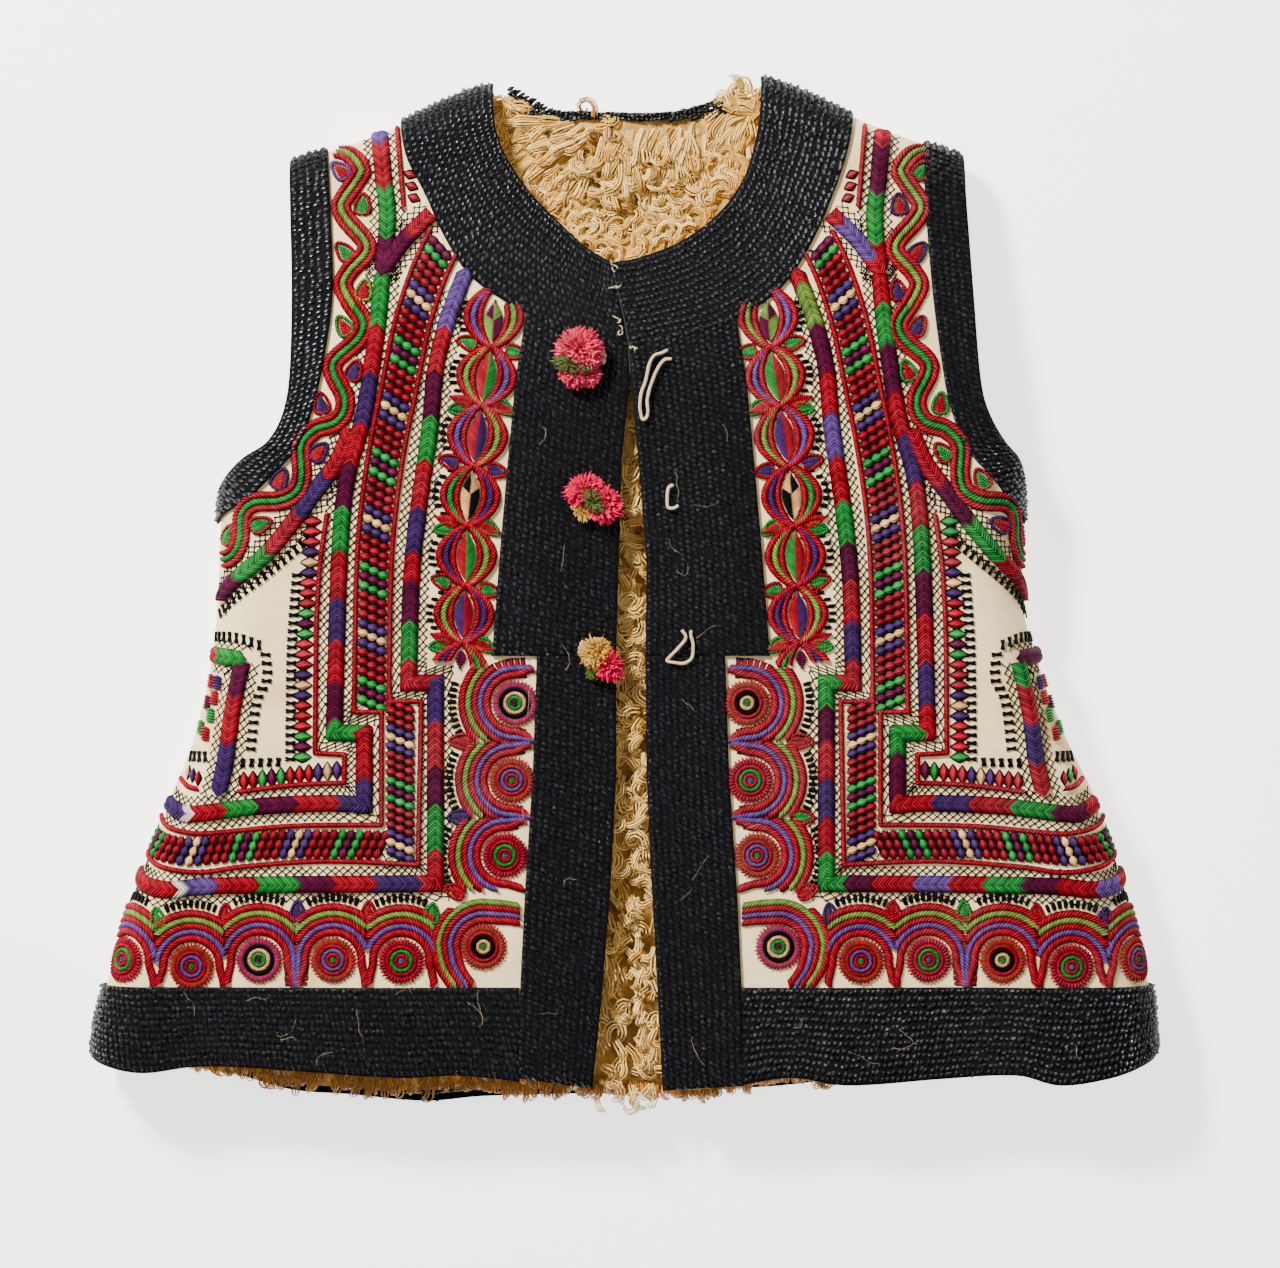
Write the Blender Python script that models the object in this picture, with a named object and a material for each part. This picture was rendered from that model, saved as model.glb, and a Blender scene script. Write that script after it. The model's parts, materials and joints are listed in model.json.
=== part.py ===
"""Embroidered sheepskin vest, leather side out, laid flat on its back.

Run it with blender --background --python part.py, or from Blender's text editor.

Frame, in metres: +X to the right as seen from above the front, +Y to the neck, +Z up from the surface that the vest
lies on. The origin is the middle of the underside of its box.

The design is worked out in millimetres on the cloth itself. A place on a panel is (reach, y): reach is the distance
from the plane X = 0 along the leather, out over the rolled side, and y is the distance along it towards the shoulder,
out over the shoulder fold. leather_point turns such a place into a point of the leather's outer face, and raised()
moves it out along the face's normal, so that whatever is sewn on a panel follows it.
"""

import math
from typing import NamedTuple

import bmesh
import bpy
from mathutils import Vector

MM = 0.001

LEATHER = 2.0  # thickness of the sheepskin without its wool
TRIM_BASE, TRIM_TOP = 0.85, 4.3  # underside and top of the looped wool trim, over the front leather
BACK_TRIM_BASE, BACK_TRIM_TOP = 0.9, 3.4  # the same under the back, where the garment's weight presses it
STITCH_BASE = 0.8  # underside of the raised embroidery over the leather
SEAM_GAP = 0.2  # each side's share of the gap in a seam
WOOL_GAP = 0.4  # from the plane where the two fleeces meet
WOOL_TUCK = 4.0  # how far under the leather's outer face the fleece starts

ROLL_RADIUS = 25.0  # the side turns round the two fleeces at this radius
SHOULDER_RADIUS = 17.0
BODY_MIDDLE, SHOULDER_MIDDLE = 25.0, 17.0  # height of the plane between the fleeces
ARMHOLE_DROOP, OPENING_DROOP = 4.0, 3.0  # how far the front sinks towards its free edges
ARMHOLE_DROOP_REACH, OPENING_DROOP_REACH = 52.0, 48.0  # how far in from the edge that is felt
CLOSED_FROM_Y, CLOSED_AT_Y = 50.0, 120.0  # over this stretch the droop beside the front opening dies out
NECK_PUFF, NECK_PUFF_Y, NECK_PUFF_WIDTH, NECK_PUFF_LENGTH = 9.0, 232.0, 44.0, 36.0  # of the fleece in the neck
HEM_LIFT_MARGIN, LIFT_SLOPE = 8.0, 32.0  # how far past its trim the back leather stays lifted, and then comes down
ARMHOLE_LIFT, UNDERARM_LIFT = 25.0, 46.0  # how far in from the armhole's edge the back is lifted, high up and low down
NECK_LIFT_WIDTH, NECK_LIFT_LENGTH, NECK_LIFT_Y = 114.0, 64.0, 262.0  # ellipse of the back's neck trim
UNDERARM_Y = 43.0
FRONT_UNDERARM_Y = 20.0  # where the underarm's level meets the front edge: the rows rise to the side
HEM_BAND_TOP = -211.0
AXIS_X = 3.6  # the two fronts' embroidery is mirrored about this X
BOX_MIDDLE_X, BOX_MIDDLE_Y = 0.0, -1.7  # the frame's origin is put here

QUARTER_TURN = math.pi / 2
ROLL_SHARE = 0.84  # share of a panel's columns, from the middle out, that lie before the rolled side
WOOL_TURN = 1.2  # how far the fleece follows the rolled side and the shoulder fold
FLAT_ANGLE = math.radians(0.15)  # faces that meet at less than this lie in one plane
ROWS_TO_SHOULDER = 1.5  # over 1, the rows above the underarm lie closer together low down, where the armhole turns


class Side(NamedTuple):
    """Which half of the garment, as seen from above."""

    sign: int
    column: str


LEFT, RIGHT = Side(-1, "left"), Side(1, "right")
SIDES = (LEFT, RIGHT)


class Row(NamedTuple):
    """One station of a table: a value for each side at a place."""

    at: float
    left: float
    right: float


class Fold(NamedTuple):
    """A soft ridge, or a dent where height is negative, that runs up from the front hem."""

    x: float
    lean: float  # how far it moves in X for each millimetre up
    width: float
    height: float
    length: float


class Edges(NamedTuple):
    """A crosswise line of a trim band: a point on each of its two edges."""

    inner: tuple
    outer: tuple


# Distance from X = 0 to the side fold's outermost line, by y.
SIDE_OUTLINE = [
    Row(-252.0, 277.0, 276.5),
    Row(-238.7, 276.5, 277.0),
    Row(-207.5, 270.0, 274.0),
    Row(-176.3, 261.0, 266.0),
    Row(-145.1, 249.0, 256.5),
    Row(-113.9, 238.0, 247.0),
    Row(-82.7, 225.5, 232.0),
    Row(-41.0, 216.0, 216.0),
    Row(-9.9, 213.0, 208.5),
    Row(26.5, 211.5, 208.0),
    Row(52.0, 210.0, 208.2),
]
# The armhole's free edge, by y.
ARMHOLE = [
    Row(UNDERARM_Y, 223.4, 223.0),
    Row(52.5, 207.5, 215.0),
    Row(62.9, 192.0, 206.0),
    Row(73.3, 182.5, 195.0),
    Row(83.7, 176.5, 189.5),
    Row(104.5, 172.5, 184.0),
    Row(146.0, 171.5, 180.5),
    Row(198.0, 173.0, 177.0),
    Row(260.0, 173.0, 174.5),
]
# Top of the shoulder fold, by distance from X = 0.
SHOULDER_LINE = [Row(0.0, 259.5, 264.0), Row(70.0, 259.5, 264.0), Row(125.0, 236.5, 242.0), Row(180.0, 217.5, 221.0)]
# Bottom edges, by reach.
FRONT_HEM = [
    Row(0.0, -265.0, -263.0),
    Row(40.0, -260.0, -264.0),
    Row(85.0, -255.0, -256.0),
    Row(115.0, -256.0, -260.0),
    Row(165.0, -253.0, -257.0),
    Row(205.0, -250.5, -255.0),
    Row(225.0, -251.0, -260.0),
    Row(250.0, -254.0, -257.0),
    Row(272.0, -250.0, -250.0),
    Row(295.0, -243.5, -242.5),
]
BACK_HEM = [
    Row(0.0, -266.0, -266.0),
    Row(75.0, -268.0, -263.0),
    Row(105.0, -270.5, -260.0),
    Row(145.0, -267.0, -256.5),
    Row(176.0, -264.5, -254.0),
    Row(205.0, -256.5, -252.0),
    Row(250.0, -250.0, -250.0),
    Row(295.0, -243.5, -242.5),
]
# Front edge of each front panel as X, by y. Above FRONT_OPENING_TOP the two edges meet in a seam.
FRONT_OPENING_TOP = 121.0
NECK_FRONT_Y = 164.0
CENTRE_EDGE = [
    Row(-266.0, -18.0, 21.5),
    Row(-210.0, -12.5, 18.7),
    Row(-114.0, -5.7, 13.5),
    Row(-50.0, -5.7, 12.5),
    Row(11.0, -4.2, 13.0),
    Row(68.0, -2.4, 8.3),
    Row(FRONT_OPENING_TOP, 2.2, 2.8),
    Row(NECK_FRONT_Y, -6.4, -5.8),
]
# Trim round the neck. A y of None is on the shoulder seam.
NECK_BAND = {
    "left": [
        Edges((-6.4, 164.0), (2.2, 121.0)),
        Edges((-20.0, 172.0), (-26.0, 127.5)),
        Edges((-33.8, 184.6), (-52.5, 140.0)),
        Edges((-48.0, 199.0), (-78.5, 157.0)),
        Edges((-59.0, 214.0), (-93.0, 178.0)),
        Edges((-66.5, 229.0), (-104.0, 202.0)),
        Edges((-69.5, 243.0), (-114.5, 224.0)),
        Edges((-70.0, None), (-116.5, None)),
    ],
    "right": [
        Edges((-5.8, 164.0), (2.8, 121.0)),
        Edges((8.0, 166.5), (24.0, 125.0)),
        Edges((30.0, 175.0), (54.0, 134.0)),
        Edges((50.0, 190.0), (79.0, 149.5)),
        Edges((63.0, 208.0), (95.5, 172.0)),
        Edges((69.5, 228.0), (108.0, 199.0)),
        Edges((72.5, 246.0), (117.5, 228.0)),
        Edges((73.0, None), (119.5, None)),
    ],
}
NECK_BAND_STEPS = (2, 2, 2, 2, 2, 1, 5)
BACK_NECK_BAND = [
    Edges((-70.0, None), (-116.5, None)),
    Edges((-69.0, 247.5), (-112.0, 226.0)),
    Edges((-61.0, 250.0), (-94.0, 213.0)),
    Edges((-44.0, 248.5), (-60.0, 202.0)),
    Edges((0.0, 248.0), (0.0, 199.0)),
    Edges((46.0, 249.0), (62.0, 203.0)),
    Edges((64.0, 251.5), (97.0, 215.0)),
    Edges((72.0, 250.5), (115.0, 229.0)),
    Edges((73.0, None), (119.5, None)),
]
BACK_NECK_STEPS = (5, 2, 2, 3, 3, 2, 2, 5)
# Trim round the armhole, from the shoulder seam to the side seam. A reach of None is on the side seam.
ARMHOLE_BAND = {
    "left": [
        Edges((155.5, None), (173.0, None)),
        Edges((153.5, 200.0), (173.0, 200.0)),
        Edges((151.5, 150.0), (171.5, 150.0)),
        Edges((156.5, 111.0), (172.3, 108.0)),
        Edges((162.5, 86.0), (176.0, 86.0)),
        Edges((169.0, 69.5), (184.0, 71.5)),
        Edges((181.5, 49.0), (196.0, 60.3)),
        Edges((197.0, 33.0), (209.0, 51.7)),
        Edges((None, 22.0), (None, UNDERARM_Y)),
    ],
    "right": [
        Edges((157.0, None), (175.5, None)),
        Edges((157.0, 202.0), (177.0, 202.0)),
        Edges((160.5, 150.0), (180.4, 150.0)),
        Edges((165.5, 110.0), (183.6, 106.0)),
        Edges((169.5, 90.0), (188.0, 87.0)),
        Edges((177.0, 69.5), (196.5, 72.0)),
        Edges((189.0, 49.0), (207.0, 61.8)),
        Edges((201.0, 33.0), (214.5, 53.0)),
        Edges((None, 22.0), (None, UNDERARM_Y)),
    ],
}
ARMHOLE_BAND_STEPS = (5, 2, 2, 1, 1, 2, 2, 5)


class PlacketRow(NamedTuple):
    """A crosswise line of the placket: its y at the front edge, and its far end as (distance from the axis, y)."""

    inner_y: float
    outer_u: float
    outer_y: float


PLACKET_STEP_Y = -39.0
PLACKET = [
    PlacketRow(-263.5, 58.5, -258.0),
    PlacketRow(-211.0, 57.5, -211.0),
    PlacketRow(-160.0, 55.0, -160.0),
    PlacketRow(-100.0, 51.0, -100.0),
    PlacketRow(PLACKET_STEP_Y - 0.8, 48.9, PLACKET_STEP_Y - 0.8),
    PlacketRow(PLACKET_STEP_Y + 0.8, 70.7, PLACKET_STEP_Y + 0.8),
    PlacketRow(10.0, 67.0, 10.0),
    PlacketRow(62.0, 62.5, 62.0),
    PlacketRow(95.0, 58.5, 105.0),
    PlacketRow(117.0, 53.5, 131.0),
]

FOLDS = [
    Fold(-226.0, 0.10, 30.0, -3.0, 120.0),
    Fold(-128.0, 0.05, 34.0, 2.5, 210.0),
    Fold(104.0, -0.05, 34.0, 2.5, 190.0),
    Fold(176.0, -0.20, 27.0, -2.5, 110.0),
    Fold(214.0, -0.20, 28.0, 3.5, 110.0),
]


class Leg(NamedTuple):
    """A smooth stretch of an embroidery route, as (distance from the axis, y), and how far apart its stations are."""

    points: list
    step: float


LONG_STEP, FLAT_STEP, ROLL_STEP = 18.0, 14.0, 5.0

# Routes of the cords on one front. Legs meet in sharp corners, or run on where one goes over a fold.
OUTER_CORD = [
    Leg([(130.5, 229.0), (129.0, 208.0)], ROLL_STEP),
    Leg([(129.0, 208.0), (126.5, 188.8), (129.5, 161.7), (132.6, 125.3), (138.8, 85.3), (147.2, 53.6), (151.3, 10.9),
         (153.9, -79.0)], LONG_STEP),
    Leg([(153.9, -79.0), (138.3, -79.0)], FLAT_STEP),
    Leg([(138.3, -79.0), (138.3, -116.5)], FLAT_STEP),
    Leg([(138.3, -116.5), (208.0, -116.5)], FLAT_STEP),
    Leg([(208.0, -116.5), (241.0, -116.5)], ROLL_STEP),
]
INNER_CORD = [
    Leg([(92.0, 145.0), (96.5, 131.0), (101.5, 109.2), (104.5, 77.5), (110.2, 37.4), (113.9, 0.0), (115.4, -53.0)],
        LONG_STEP),
    Leg([(115.4, -53.0), (101.4, -53.0)], FLAT_STEP),
    Leg([(101.4, -53.0), (101.4, -157.0)], FLAT_STEP),
    Leg([(101.4, -157.0), (220.0, -157.0)], FLAT_STEP),
    Leg([(220.0, -157.0), (256.0, -157.0)], ROLL_STEP),
]
BRICK_BAND = [
    Leg([(105.5, 159.5), (113.8, 133.1), (120.1, 101.4), (126.4, 69.7), (131.0, 37.4), (133.6, 0.0), (134.6, -66.0)],
        LONG_STEP),
    Leg([(134.6, -66.0), (119.6, -66.0)], FLAT_STEP),
    Leg([(119.6, -66.0), (119.6, -137.0)], FLAT_STEP),
    Leg([(119.6, -137.0), (212.0, -137.0)], FLAT_STEP),
    Leg([(212.0, -137.0), (248.0, -137.0)], ROLL_STEP),
]
ARMHOLE_CORD = [Leg([(159.0, 61.0), (172.0, 40.5), (186.0, 20.0), (197.0, 9.5), (207.0, 2.0)], ROLL_STEP)]
SIDE_CORD = [
    Leg([(213.0, -39.0), (201.5, -40.0)], ROLL_STEP),
    Leg([(201.5, -40.0), (207.0, -78.0), (216.0, -103.0)], ROLL_STEP),
]
VINE_LINE = [
    Leg([(144.7, 226.0), (144.2, 208.0)], ROLL_STEP),
    Leg([(144.2, 208.0), (144.0, 180.0), (145.5, 143.0), (150.0, 110.0), (155.0, 88.0), (164.0, 71.5), (175.0, 56.0),
         (185.5, 39.0), (197.0, 25.0)], 6.5),
]
OVAL_LINE = [Leg([(74.5, 128.0), (77.0, 107.6), (79.3, 77.5), (82.8, 45.8), (85.6, 18.7), (87.2, -34.0)], 5.5)]

CORD_SECTION = [(-5.0, STITCH_BASE), (-2.8, 3.9), (2.8, 3.9), (5.0, STITCH_BASE)]
BRICK_SECTION = [(-7.6, STITCH_BASE), (-6.9, 2.4), (6.9, 2.4), (7.6, STITCH_BASE)]
VINE_SECTION = [(-2.8, STITCH_BASE), (-1.8, 2.4), (1.8, 2.4), (2.8, STITCH_BASE)]
VINE_WAVE_TOP, VINE_WAVE_END, VINE_PERIOD = 5.0, 1.4, 39.0
OVAL_PITCH, OVAL_NECK, OVAL_SWELL, OVAL_TOP = 30.0, 7.0, 4.5, 2.6

# Scalloped borders: rosettes along the lower placket by y, and above the hem by distance from the axis.
ROSETTE_RADIUS, ROSETTE_SHOULDER, ROSETTE_SIDES = 12.8, 10.6, 8
ROSETTE_FOOT, ROSETTE_TOP = 1.0, 3.4
PAD_TOP = 2.0
PAD_SLOPE = 0.8
BORDER_GAP = 0.8  # from the lower placket to the border beside it, and to the hem band's end
ARCH_RADIUS = 26.0
COLUMN_ROSETTES = (-64.0, -102.5, -141.5)
CORNER_U = 73.5
HEM_ROSETTE_Y = -196.5
HEM_ROSETTES = (CORNER_U, 116.0, 150.5, 187.0, 221.0, 256.0)
HEM_PAD_FOOT = -210.2
COLUMN_PAD_ENDS = (-167.0, -40.5)
HEM_PAD_SPANS = 3
HEM_PAD_END = {"left": 278.0, "right": 270.0}  # just short of the side seam, which lies askew of the axis

POMPOM_FLATTEN, POMPOM_FLOOR = 0.72, 0.45
STRING_RADIUS, STRING_GAP = 1.1, 0.4
STRING_BEVEL_STEPS = 1
STRING_STATION = 5.0


class Pompom(NamedTuple):
    """A wool button: where it sits as (X, y), its radius, and how far round its locks still stand."""

    name: str
    x: float
    y: float
    radius: float
    wool_from: float  # locks grow on faces whose outward X is over this


POMPOMS = [
    Pompom("pompom_top", -23.5, 116.5, 14.5, -2.0),
    Pompom("pompom_middle", -15.0, 41.0, 12.5, -2.0),
    Pompom("pompom_bottom", -8.8, -42.0, 8.2, -2.0),
]
KNOB = Pompom("pompom_bottom_knob", -15.8, -37.4, 8.9, 2.0)  # the last pompom's worn half, bare of wool
POMPOM_CORE = 0.72  # of the radius: the rest is the locks' length
POMPOM_SEAT = TRIM_TOP + 0.5

# String loops on the right placket as (X, y), each one string.
STRING_LOOPS = {
    "string_loop_top": [
        (22.5, 119.0), (19.5, 117.5), (15.5, 116.0), (13.0, 111.5), (11.4, 104.0), (8.9, 97.0), (8.3, 90.0),
        (9.8, 83.9), (12.4, 86.5), (12.2, 94.5), (14.4, 102.5), (17.4, 109.5), (20.8, 114.0), (24.6, 114.5),
    ],
    "string_loop_middle": [(26.0, 49.7), (23.4, 48.0), (22.8, 42.0), (23.2, 38.2), (26.0, 37.6), (28.6, 39.0)],
    "string_loop_bottom": [
        (30.4, -25.5), (32.6, -29.6), (29.2, -34.2), (25.2, -38.4), (22.6, -41.4), (26.4, -42.4), (31.6, -42.8),
        (35.6, -40.0), (36.4, -33.6), (35.2, -28.2), (35.4, -25.6),
    ],
}


def clamp(value, low, high):
    return max(low, min(high, value))


def ease(value):
    """0 to 1 with level ends, as value goes from 0 to 1."""
    value = clamp(value, 0.0, 1.0)
    return value * value * (3.0 - 2.0 * value)


def lerp(a, b, share):
    return a + (b - a) * share


def table_value(rows, side, at):
    """The side's column at this place: a smooth curve through the rows, level past the ends."""
    values = [getattr(row, side.column) for row in rows]
    if at <= rows[0].at:
        return values[0]
    if at >= rows[-1].at:
        return values[-1]
    k = next(i for i in range(len(rows) - 1) if at < rows[i + 1].at)

    def slope(i):
        before, after = max(i - 1, 0), min(i + 1, len(rows) - 1)
        return (values[after] - values[before]) / (rows[after].at - rows[before].at)

    span = rows[k + 1].at - rows[k].at
    t = (at - rows[k].at) / span
    rise = values[k + 1] - values[k]
    bend_in = slope(k) * span - rise
    bend_out = rise - slope(k + 1) * span
    return lerp(values[k], values[k + 1], t) + t * (1 - t) * (bend_in * (1 - t) + bend_out * t)


# The body of the garment, from which every place is measured.


def fold_start(side, y):
    """Reach where the side starts to roll over."""
    return table_value(SIDE_OUTLINE, side, min(y, SIDE_OUTLINE[-1].at)) - ROLL_RADIUS


def flared_reach(side, y, start, share, turn=QUARTER_TURN):
    """Reach at this share of the way from start to the side seam, in step with the rolled side at every y."""
    fold = fold_start(side, y)
    if share <= ROLL_SHARE:
        return lerp(start, fold, share / ROLL_SHARE)
    return fold + (share - ROLL_SHARE) / (1.0 - ROLL_SHARE) * (ROLL_RADIUS * turn - SEAM_GAP)


def side_seam(side, y):
    return fold_start(side, y) + ROLL_RADIUS * QUARTER_TURN - SEAM_GAP


def shoulder_start(side, reach):
    return table_value(SHOULDER_LINE, side, abs(reach)) - SHOULDER_RADIUS


def shoulder_seam(side, reach):
    return shoulder_start(side, reach) + SHOULDER_RADIUS * QUARTER_TURN - SEAM_GAP


def middle_height(y):
    """Height of the plane where the front's fleece lies on the back's."""
    return lerp(BODY_MIDDLE, SHOULDER_MIDDLE, ease((y - 90.0) / 145.0))


def folds_height(x, y):
    """The folds that run up from the front hem, at a place of the plan."""
    total = 0.0
    for fold in FOLDS:
        up = y - HEM_BAND_TOP
        across = (x - fold.x - fold.lean * max(up, 0.0)) / fold.width
        total += fold.height * math.exp(-across * across) * (1.0 - ease(up / fold.length))
    return total


def front_rise(side, reach, y):
    """Height of the front leather over the middle plane, lower along its free edges."""
    x = side.sign * reach
    rise = middle_height(y) + folds_height(x, y)
    armhole = ease(1.0 - (table_value(ARMHOLE, side, y) - reach) / ARMHOLE_DROOP_REACH)
    armhole *= ease((y - UNDERARM_Y) / 60.0)
    opening = ease(1.0 - (reach - side.sign * table_value(CENTRE_EDGE, side, y)) / OPENING_DROOP_REACH)
    opening *= 1.0 - ease((y - CLOSED_FROM_Y) / (CLOSED_AT_Y - CLOSED_FROM_Y))
    return rise - ARMHOLE_DROOP * armhole - OPENING_DROOP * opening


def back_lift(side, reach, y):
    """How far the back leather is lifted off the surface by the trim sewn under its edges."""
    hem = 1.0 - ease((y - HEM_BAND_TOP - HEM_LIFT_MARGIN) / LIFT_SLOPE)
    margin = lerp(UNDERARM_LIFT, ARMHOLE_LIFT, ease((y - 62.0) / 40.0))
    armhole = 1.0 - ease((table_value(ARMHOLE, side, y) - reach - margin) / LIFT_SLOPE)
    armhole *= ease((y + 12.0) / 26.0)
    from_neck = math.hypot(reach / NECK_LIFT_WIDTH, (NECK_LIFT_Y - y) / NECK_LIFT_LENGTH)
    neck = 1.0 - ease((from_neck - 1.3) / 0.4)
    return BACK_TRIM_TOP * max(hem, armhole, neck)


def leather_point(side, reach, y, front):
    """A point of the leather's outer face, in millimetres."""
    start = fold_start(side, y)
    turn = clamp((reach - start) / ROLL_RADIUS, 0.0, QUARTER_TURN)
    out = min(reach, start) + ROLL_RADIUS * math.sin(turn)
    crest = shoulder_start(side, out)
    tip = clamp((y - crest) / SHOULDER_RADIUS, 0.0, QUARTER_TURN)
    plan_y = min(y, crest) + SHOULDER_RADIUS * math.sin(tip)
    middle = middle_height(plan_y)
    rise = front_rise(side, reach, y) if front else back_lift(side, reach, y) - middle
    return Vector((side.sign * out, plan_y, middle + rise * math.cos(turn) * math.cos(tip)))


def raised(side, reach, y, height, front=True):
    """The point at this height out from the leather's outer face."""
    step = 0.05
    point = leather_point(side, reach, y, front)
    along = point - leather_point(side, reach - step, y, front)
    up = point - leather_point(side, reach, y - step, front)
    normal = along.cross(up).normalized() * side.sign * (1 if front else -1)
    return point + normal * height


# Making meshes.


def dyed(name, hex_colour, roughness=0.85):
    """A matt material of one colour, given as sRGB hex."""
    material = bpy.data.materials.new(name)
    material.use_nodes = True
    shader = material.node_tree.nodes["Principled BSDF"]
    channels = [int(hex_colour[i:i + 2], 16) / 255 for i in (0, 2, 4)]
    linear = [c / 12.92 if c <= 0.04045 else ((c + 0.055) / 1.055) ** 2.4 for c in channels]
    shader.inputs["Base Color"].default_value = (*linear, 1.0)
    shader.inputs["Roughness"].default_value = roughness
    shader.inputs["Metallic"].default_value = 0.0
    return material


def add_object(name, data, material, collection):
    made = bpy.data.objects.new(name, data)
    made.location = (-BOX_MIDDLE_X * MM, -BOX_MIDDLE_Y * MM, 0.0)
    data.materials.append(material)
    collection.objects.link(made)
    return made


def mesh_from(name, bm):
    bmesh.ops.recalc_face_normals(bm, faces=bm.faces)
    mesh = bpy.data.meshes.new(name)
    bm.to_mesh(mesh)
    bm.free()
    return mesh


def lofted(name, rings, material, collection):
    """A closed solid through rings of points in millimetres.

    Each ring runs out along one face of the piece and back along the other, so that a cap is a strip of quads.
    Neighbouring faces that lie in one plane become one face.
    """
    bm = bmesh.new()
    loops = [[bm.verts.new(point * MM) for point in ring] for ring in rings]
    count = len(loops[0])
    for near, far in zip(loops, loops[1:]):
        for i in range(count):
            after = (i + 1) % count
            bm.faces.new((near[i], near[after], far[after], far[i]))
    for loop in (loops[0], loops[-1]):
        for i in range(count // 2 - 1):
            bm.faces.new((loop[i], loop[i + 1], loop[count - 2 - i], loop[count - 1 - i]))
    bm.normal_update()
    bmesh.ops.dissolve_limit(bm, angle_limit=FLAT_ANGLE, verts=bm.verts, edges=bm.edges)
    return add_object(name, mesh_from(name, bm), material, collection)


def spread(points, count):
    """count + 1 points evenly along the polyline."""
    lengths = [0.0]
    for a, b in zip(points, points[1:]):
        lengths.append(lengths[-1] + math.dist(a, b))
    made = []
    for i in range(count + 1):
        want = lengths[-1] * i / count
        k = max(j for j in range(len(points) - 1) if lengths[j] <= want + 1e-9)
        share = (want - lengths[k]) / (lengths[k + 1] - lengths[k])
        made.append(tuple(lerp(a, b, share) for a, b in zip(points[k], points[k + 1])))
    return made


def smooth_line(points, steps):
    """A smooth curve through the points. steps is how many between each two, or one number for each span."""
    counts = steps if isinstance(steps, tuple) else (steps,) * (len(points) - 1)
    if len(points) == 2:
        return spread(points, counts[0])
    padded = [points[0], *points, points[-1]]
    made = []
    for k, count in enumerate(counts):
        p0, p1, p2, p3 = padded[k:k + 4]
        for i in range(count):
            t = i / count
            made.append(tuple(
                0.5 * (2 * b + (c - a) * t + (2 * a - 5 * b + 4 * c - d) * t * t + (3 * b - a - 3 * c + d) * t ** 3)
                for a, b, c, d in zip(p0, p1, p2, p3)
            ))
    return [*made, points[-1]]


def run_length(points):
    return sum(math.dist(a, b) for a, b in zip(points, points[1:]))


def route_points(legs):
    """Stations along a route's legs."""
    made = []
    for leg in legs:
        line = smooth_line(leg.points, 8)
        made += spread(line, max(1, round(run_length(line) / leg.step)))[0 if not made else 1:]
    return made


def mitres(points):
    """At each station, the sideways direction of the line there, longer in a corner so that the width holds."""
    made = []
    for i, point in enumerate(points):
        before = points[max(i - 1, 0)]
        after = points[min(i + 1, len(points) - 1)]
        come = Vector((point[0] - before[0], point[1] - before[1]))
        go = Vector((after[0] - point[0], after[1] - point[1]))
        come = (come if come.length else go).normalized()
        go = (go if go.length else come).normalized()
        mean = (come + go).normalized()
        made.append(Vector((-mean.y, mean.x)) / max(mean.dot(go), 0.5))
    return made


def on_front(side, u, y, height):
    """A point at a distance u from the axis of the embroidery."""
    return raised(side, u + side.sign * AXIS_X, y, height)


def swept(name, side, points, section_at, material, collection):
    """A solid along the stations, whose cross-section is (sideways, height) points from section_at(share)."""
    rings = []
    for i, ((u, y), across) in enumerate(zip(points, mitres(points))):
        section = section_at(i / (len(points) - 1))
        rings.append([on_front(side, u + across.x * w, y + across.y * w, h) for w, h in section])
    return lofted(f"{side.column}_{name}", rings, material, collection)


# The pieces.


def column_shares(flat, roll):
    """Shares across a panel, closer together where the side rolls over."""
    shares = [ROLL_SHARE * i / flat for i in range(flat)]
    return shares + [lerp(ROLL_SHARE, 1.0, i / roll) for i in range(roll + 1)]


class Cut(NamedTuple):
    """How finely a layer is laid out, how far inside the leather's edge it ends, and how far it follows the folds."""

    columns: tuple  # how many over each zone, from the middle out
    lower_rows: int
    upper_rows: int
    fold_rows: int
    inset: float
    turn: float


def outer_reach(side, y, cut):
    """The layer's outer edge: the side seam's fold, then the armhole."""
    seam = flared_reach(side, y, 0.0, 1.0, cut.turn)
    return min(seam, table_value(ARMHOLE, side, y) - cut.inset) if y > UNDERARM_Y else seam


def fold_height(side, reach, share, cut):
    """y at this share of the way over the shoulder fold."""
    return shoulder_start(side, reach) + share * (SHOULDER_RADIUS * cut.turn - SEAM_GAP)


def settled(reach_at, y_at):
    """The (reach, y) where a line of constant share meets a row, each of which depends a little on the other."""
    y = y_at(0.0)
    for _ in range(4):
        reach = reach_at(y)
        y = y_at(reach)
    return reach, y


def lower_heights(side, hem, cut, underarm):
    """y of each row from the hem to just under the armhole, as functions of reach."""
    heights = [
        lambda reach: table_value(hem, side, reach) + cut.inset,
        lambda reach: (table_value(hem, side, reach) + HEM_BAND_TOP) / 2,
    ]
    for i in range(cut.lower_rows):
        level = lerp(HEM_BAND_TOP, underarm, i / cut.lower_rows)
        heights.append(lambda reach, y=level: y)
    return heights


def front_edge_path(side, inset):
    """The free front edge from the underarm's level to the foot of the shoulder fold, as (reach, y)."""
    edge = [
        (side.sign * table_value(CENTRE_EDGE, side, y) + inset, y)
        for y in (FRONT_UNDERARM_Y, 68.0, FRONT_OPENING_TOP, NECK_FRONT_Y - 2.0 * inset)
    ]
    for row in NECK_BAND[side.column][1:-1]:
        x, y = row.inner
        edge.append((side.sign * x + inset, y - inset))
    return edge


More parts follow.
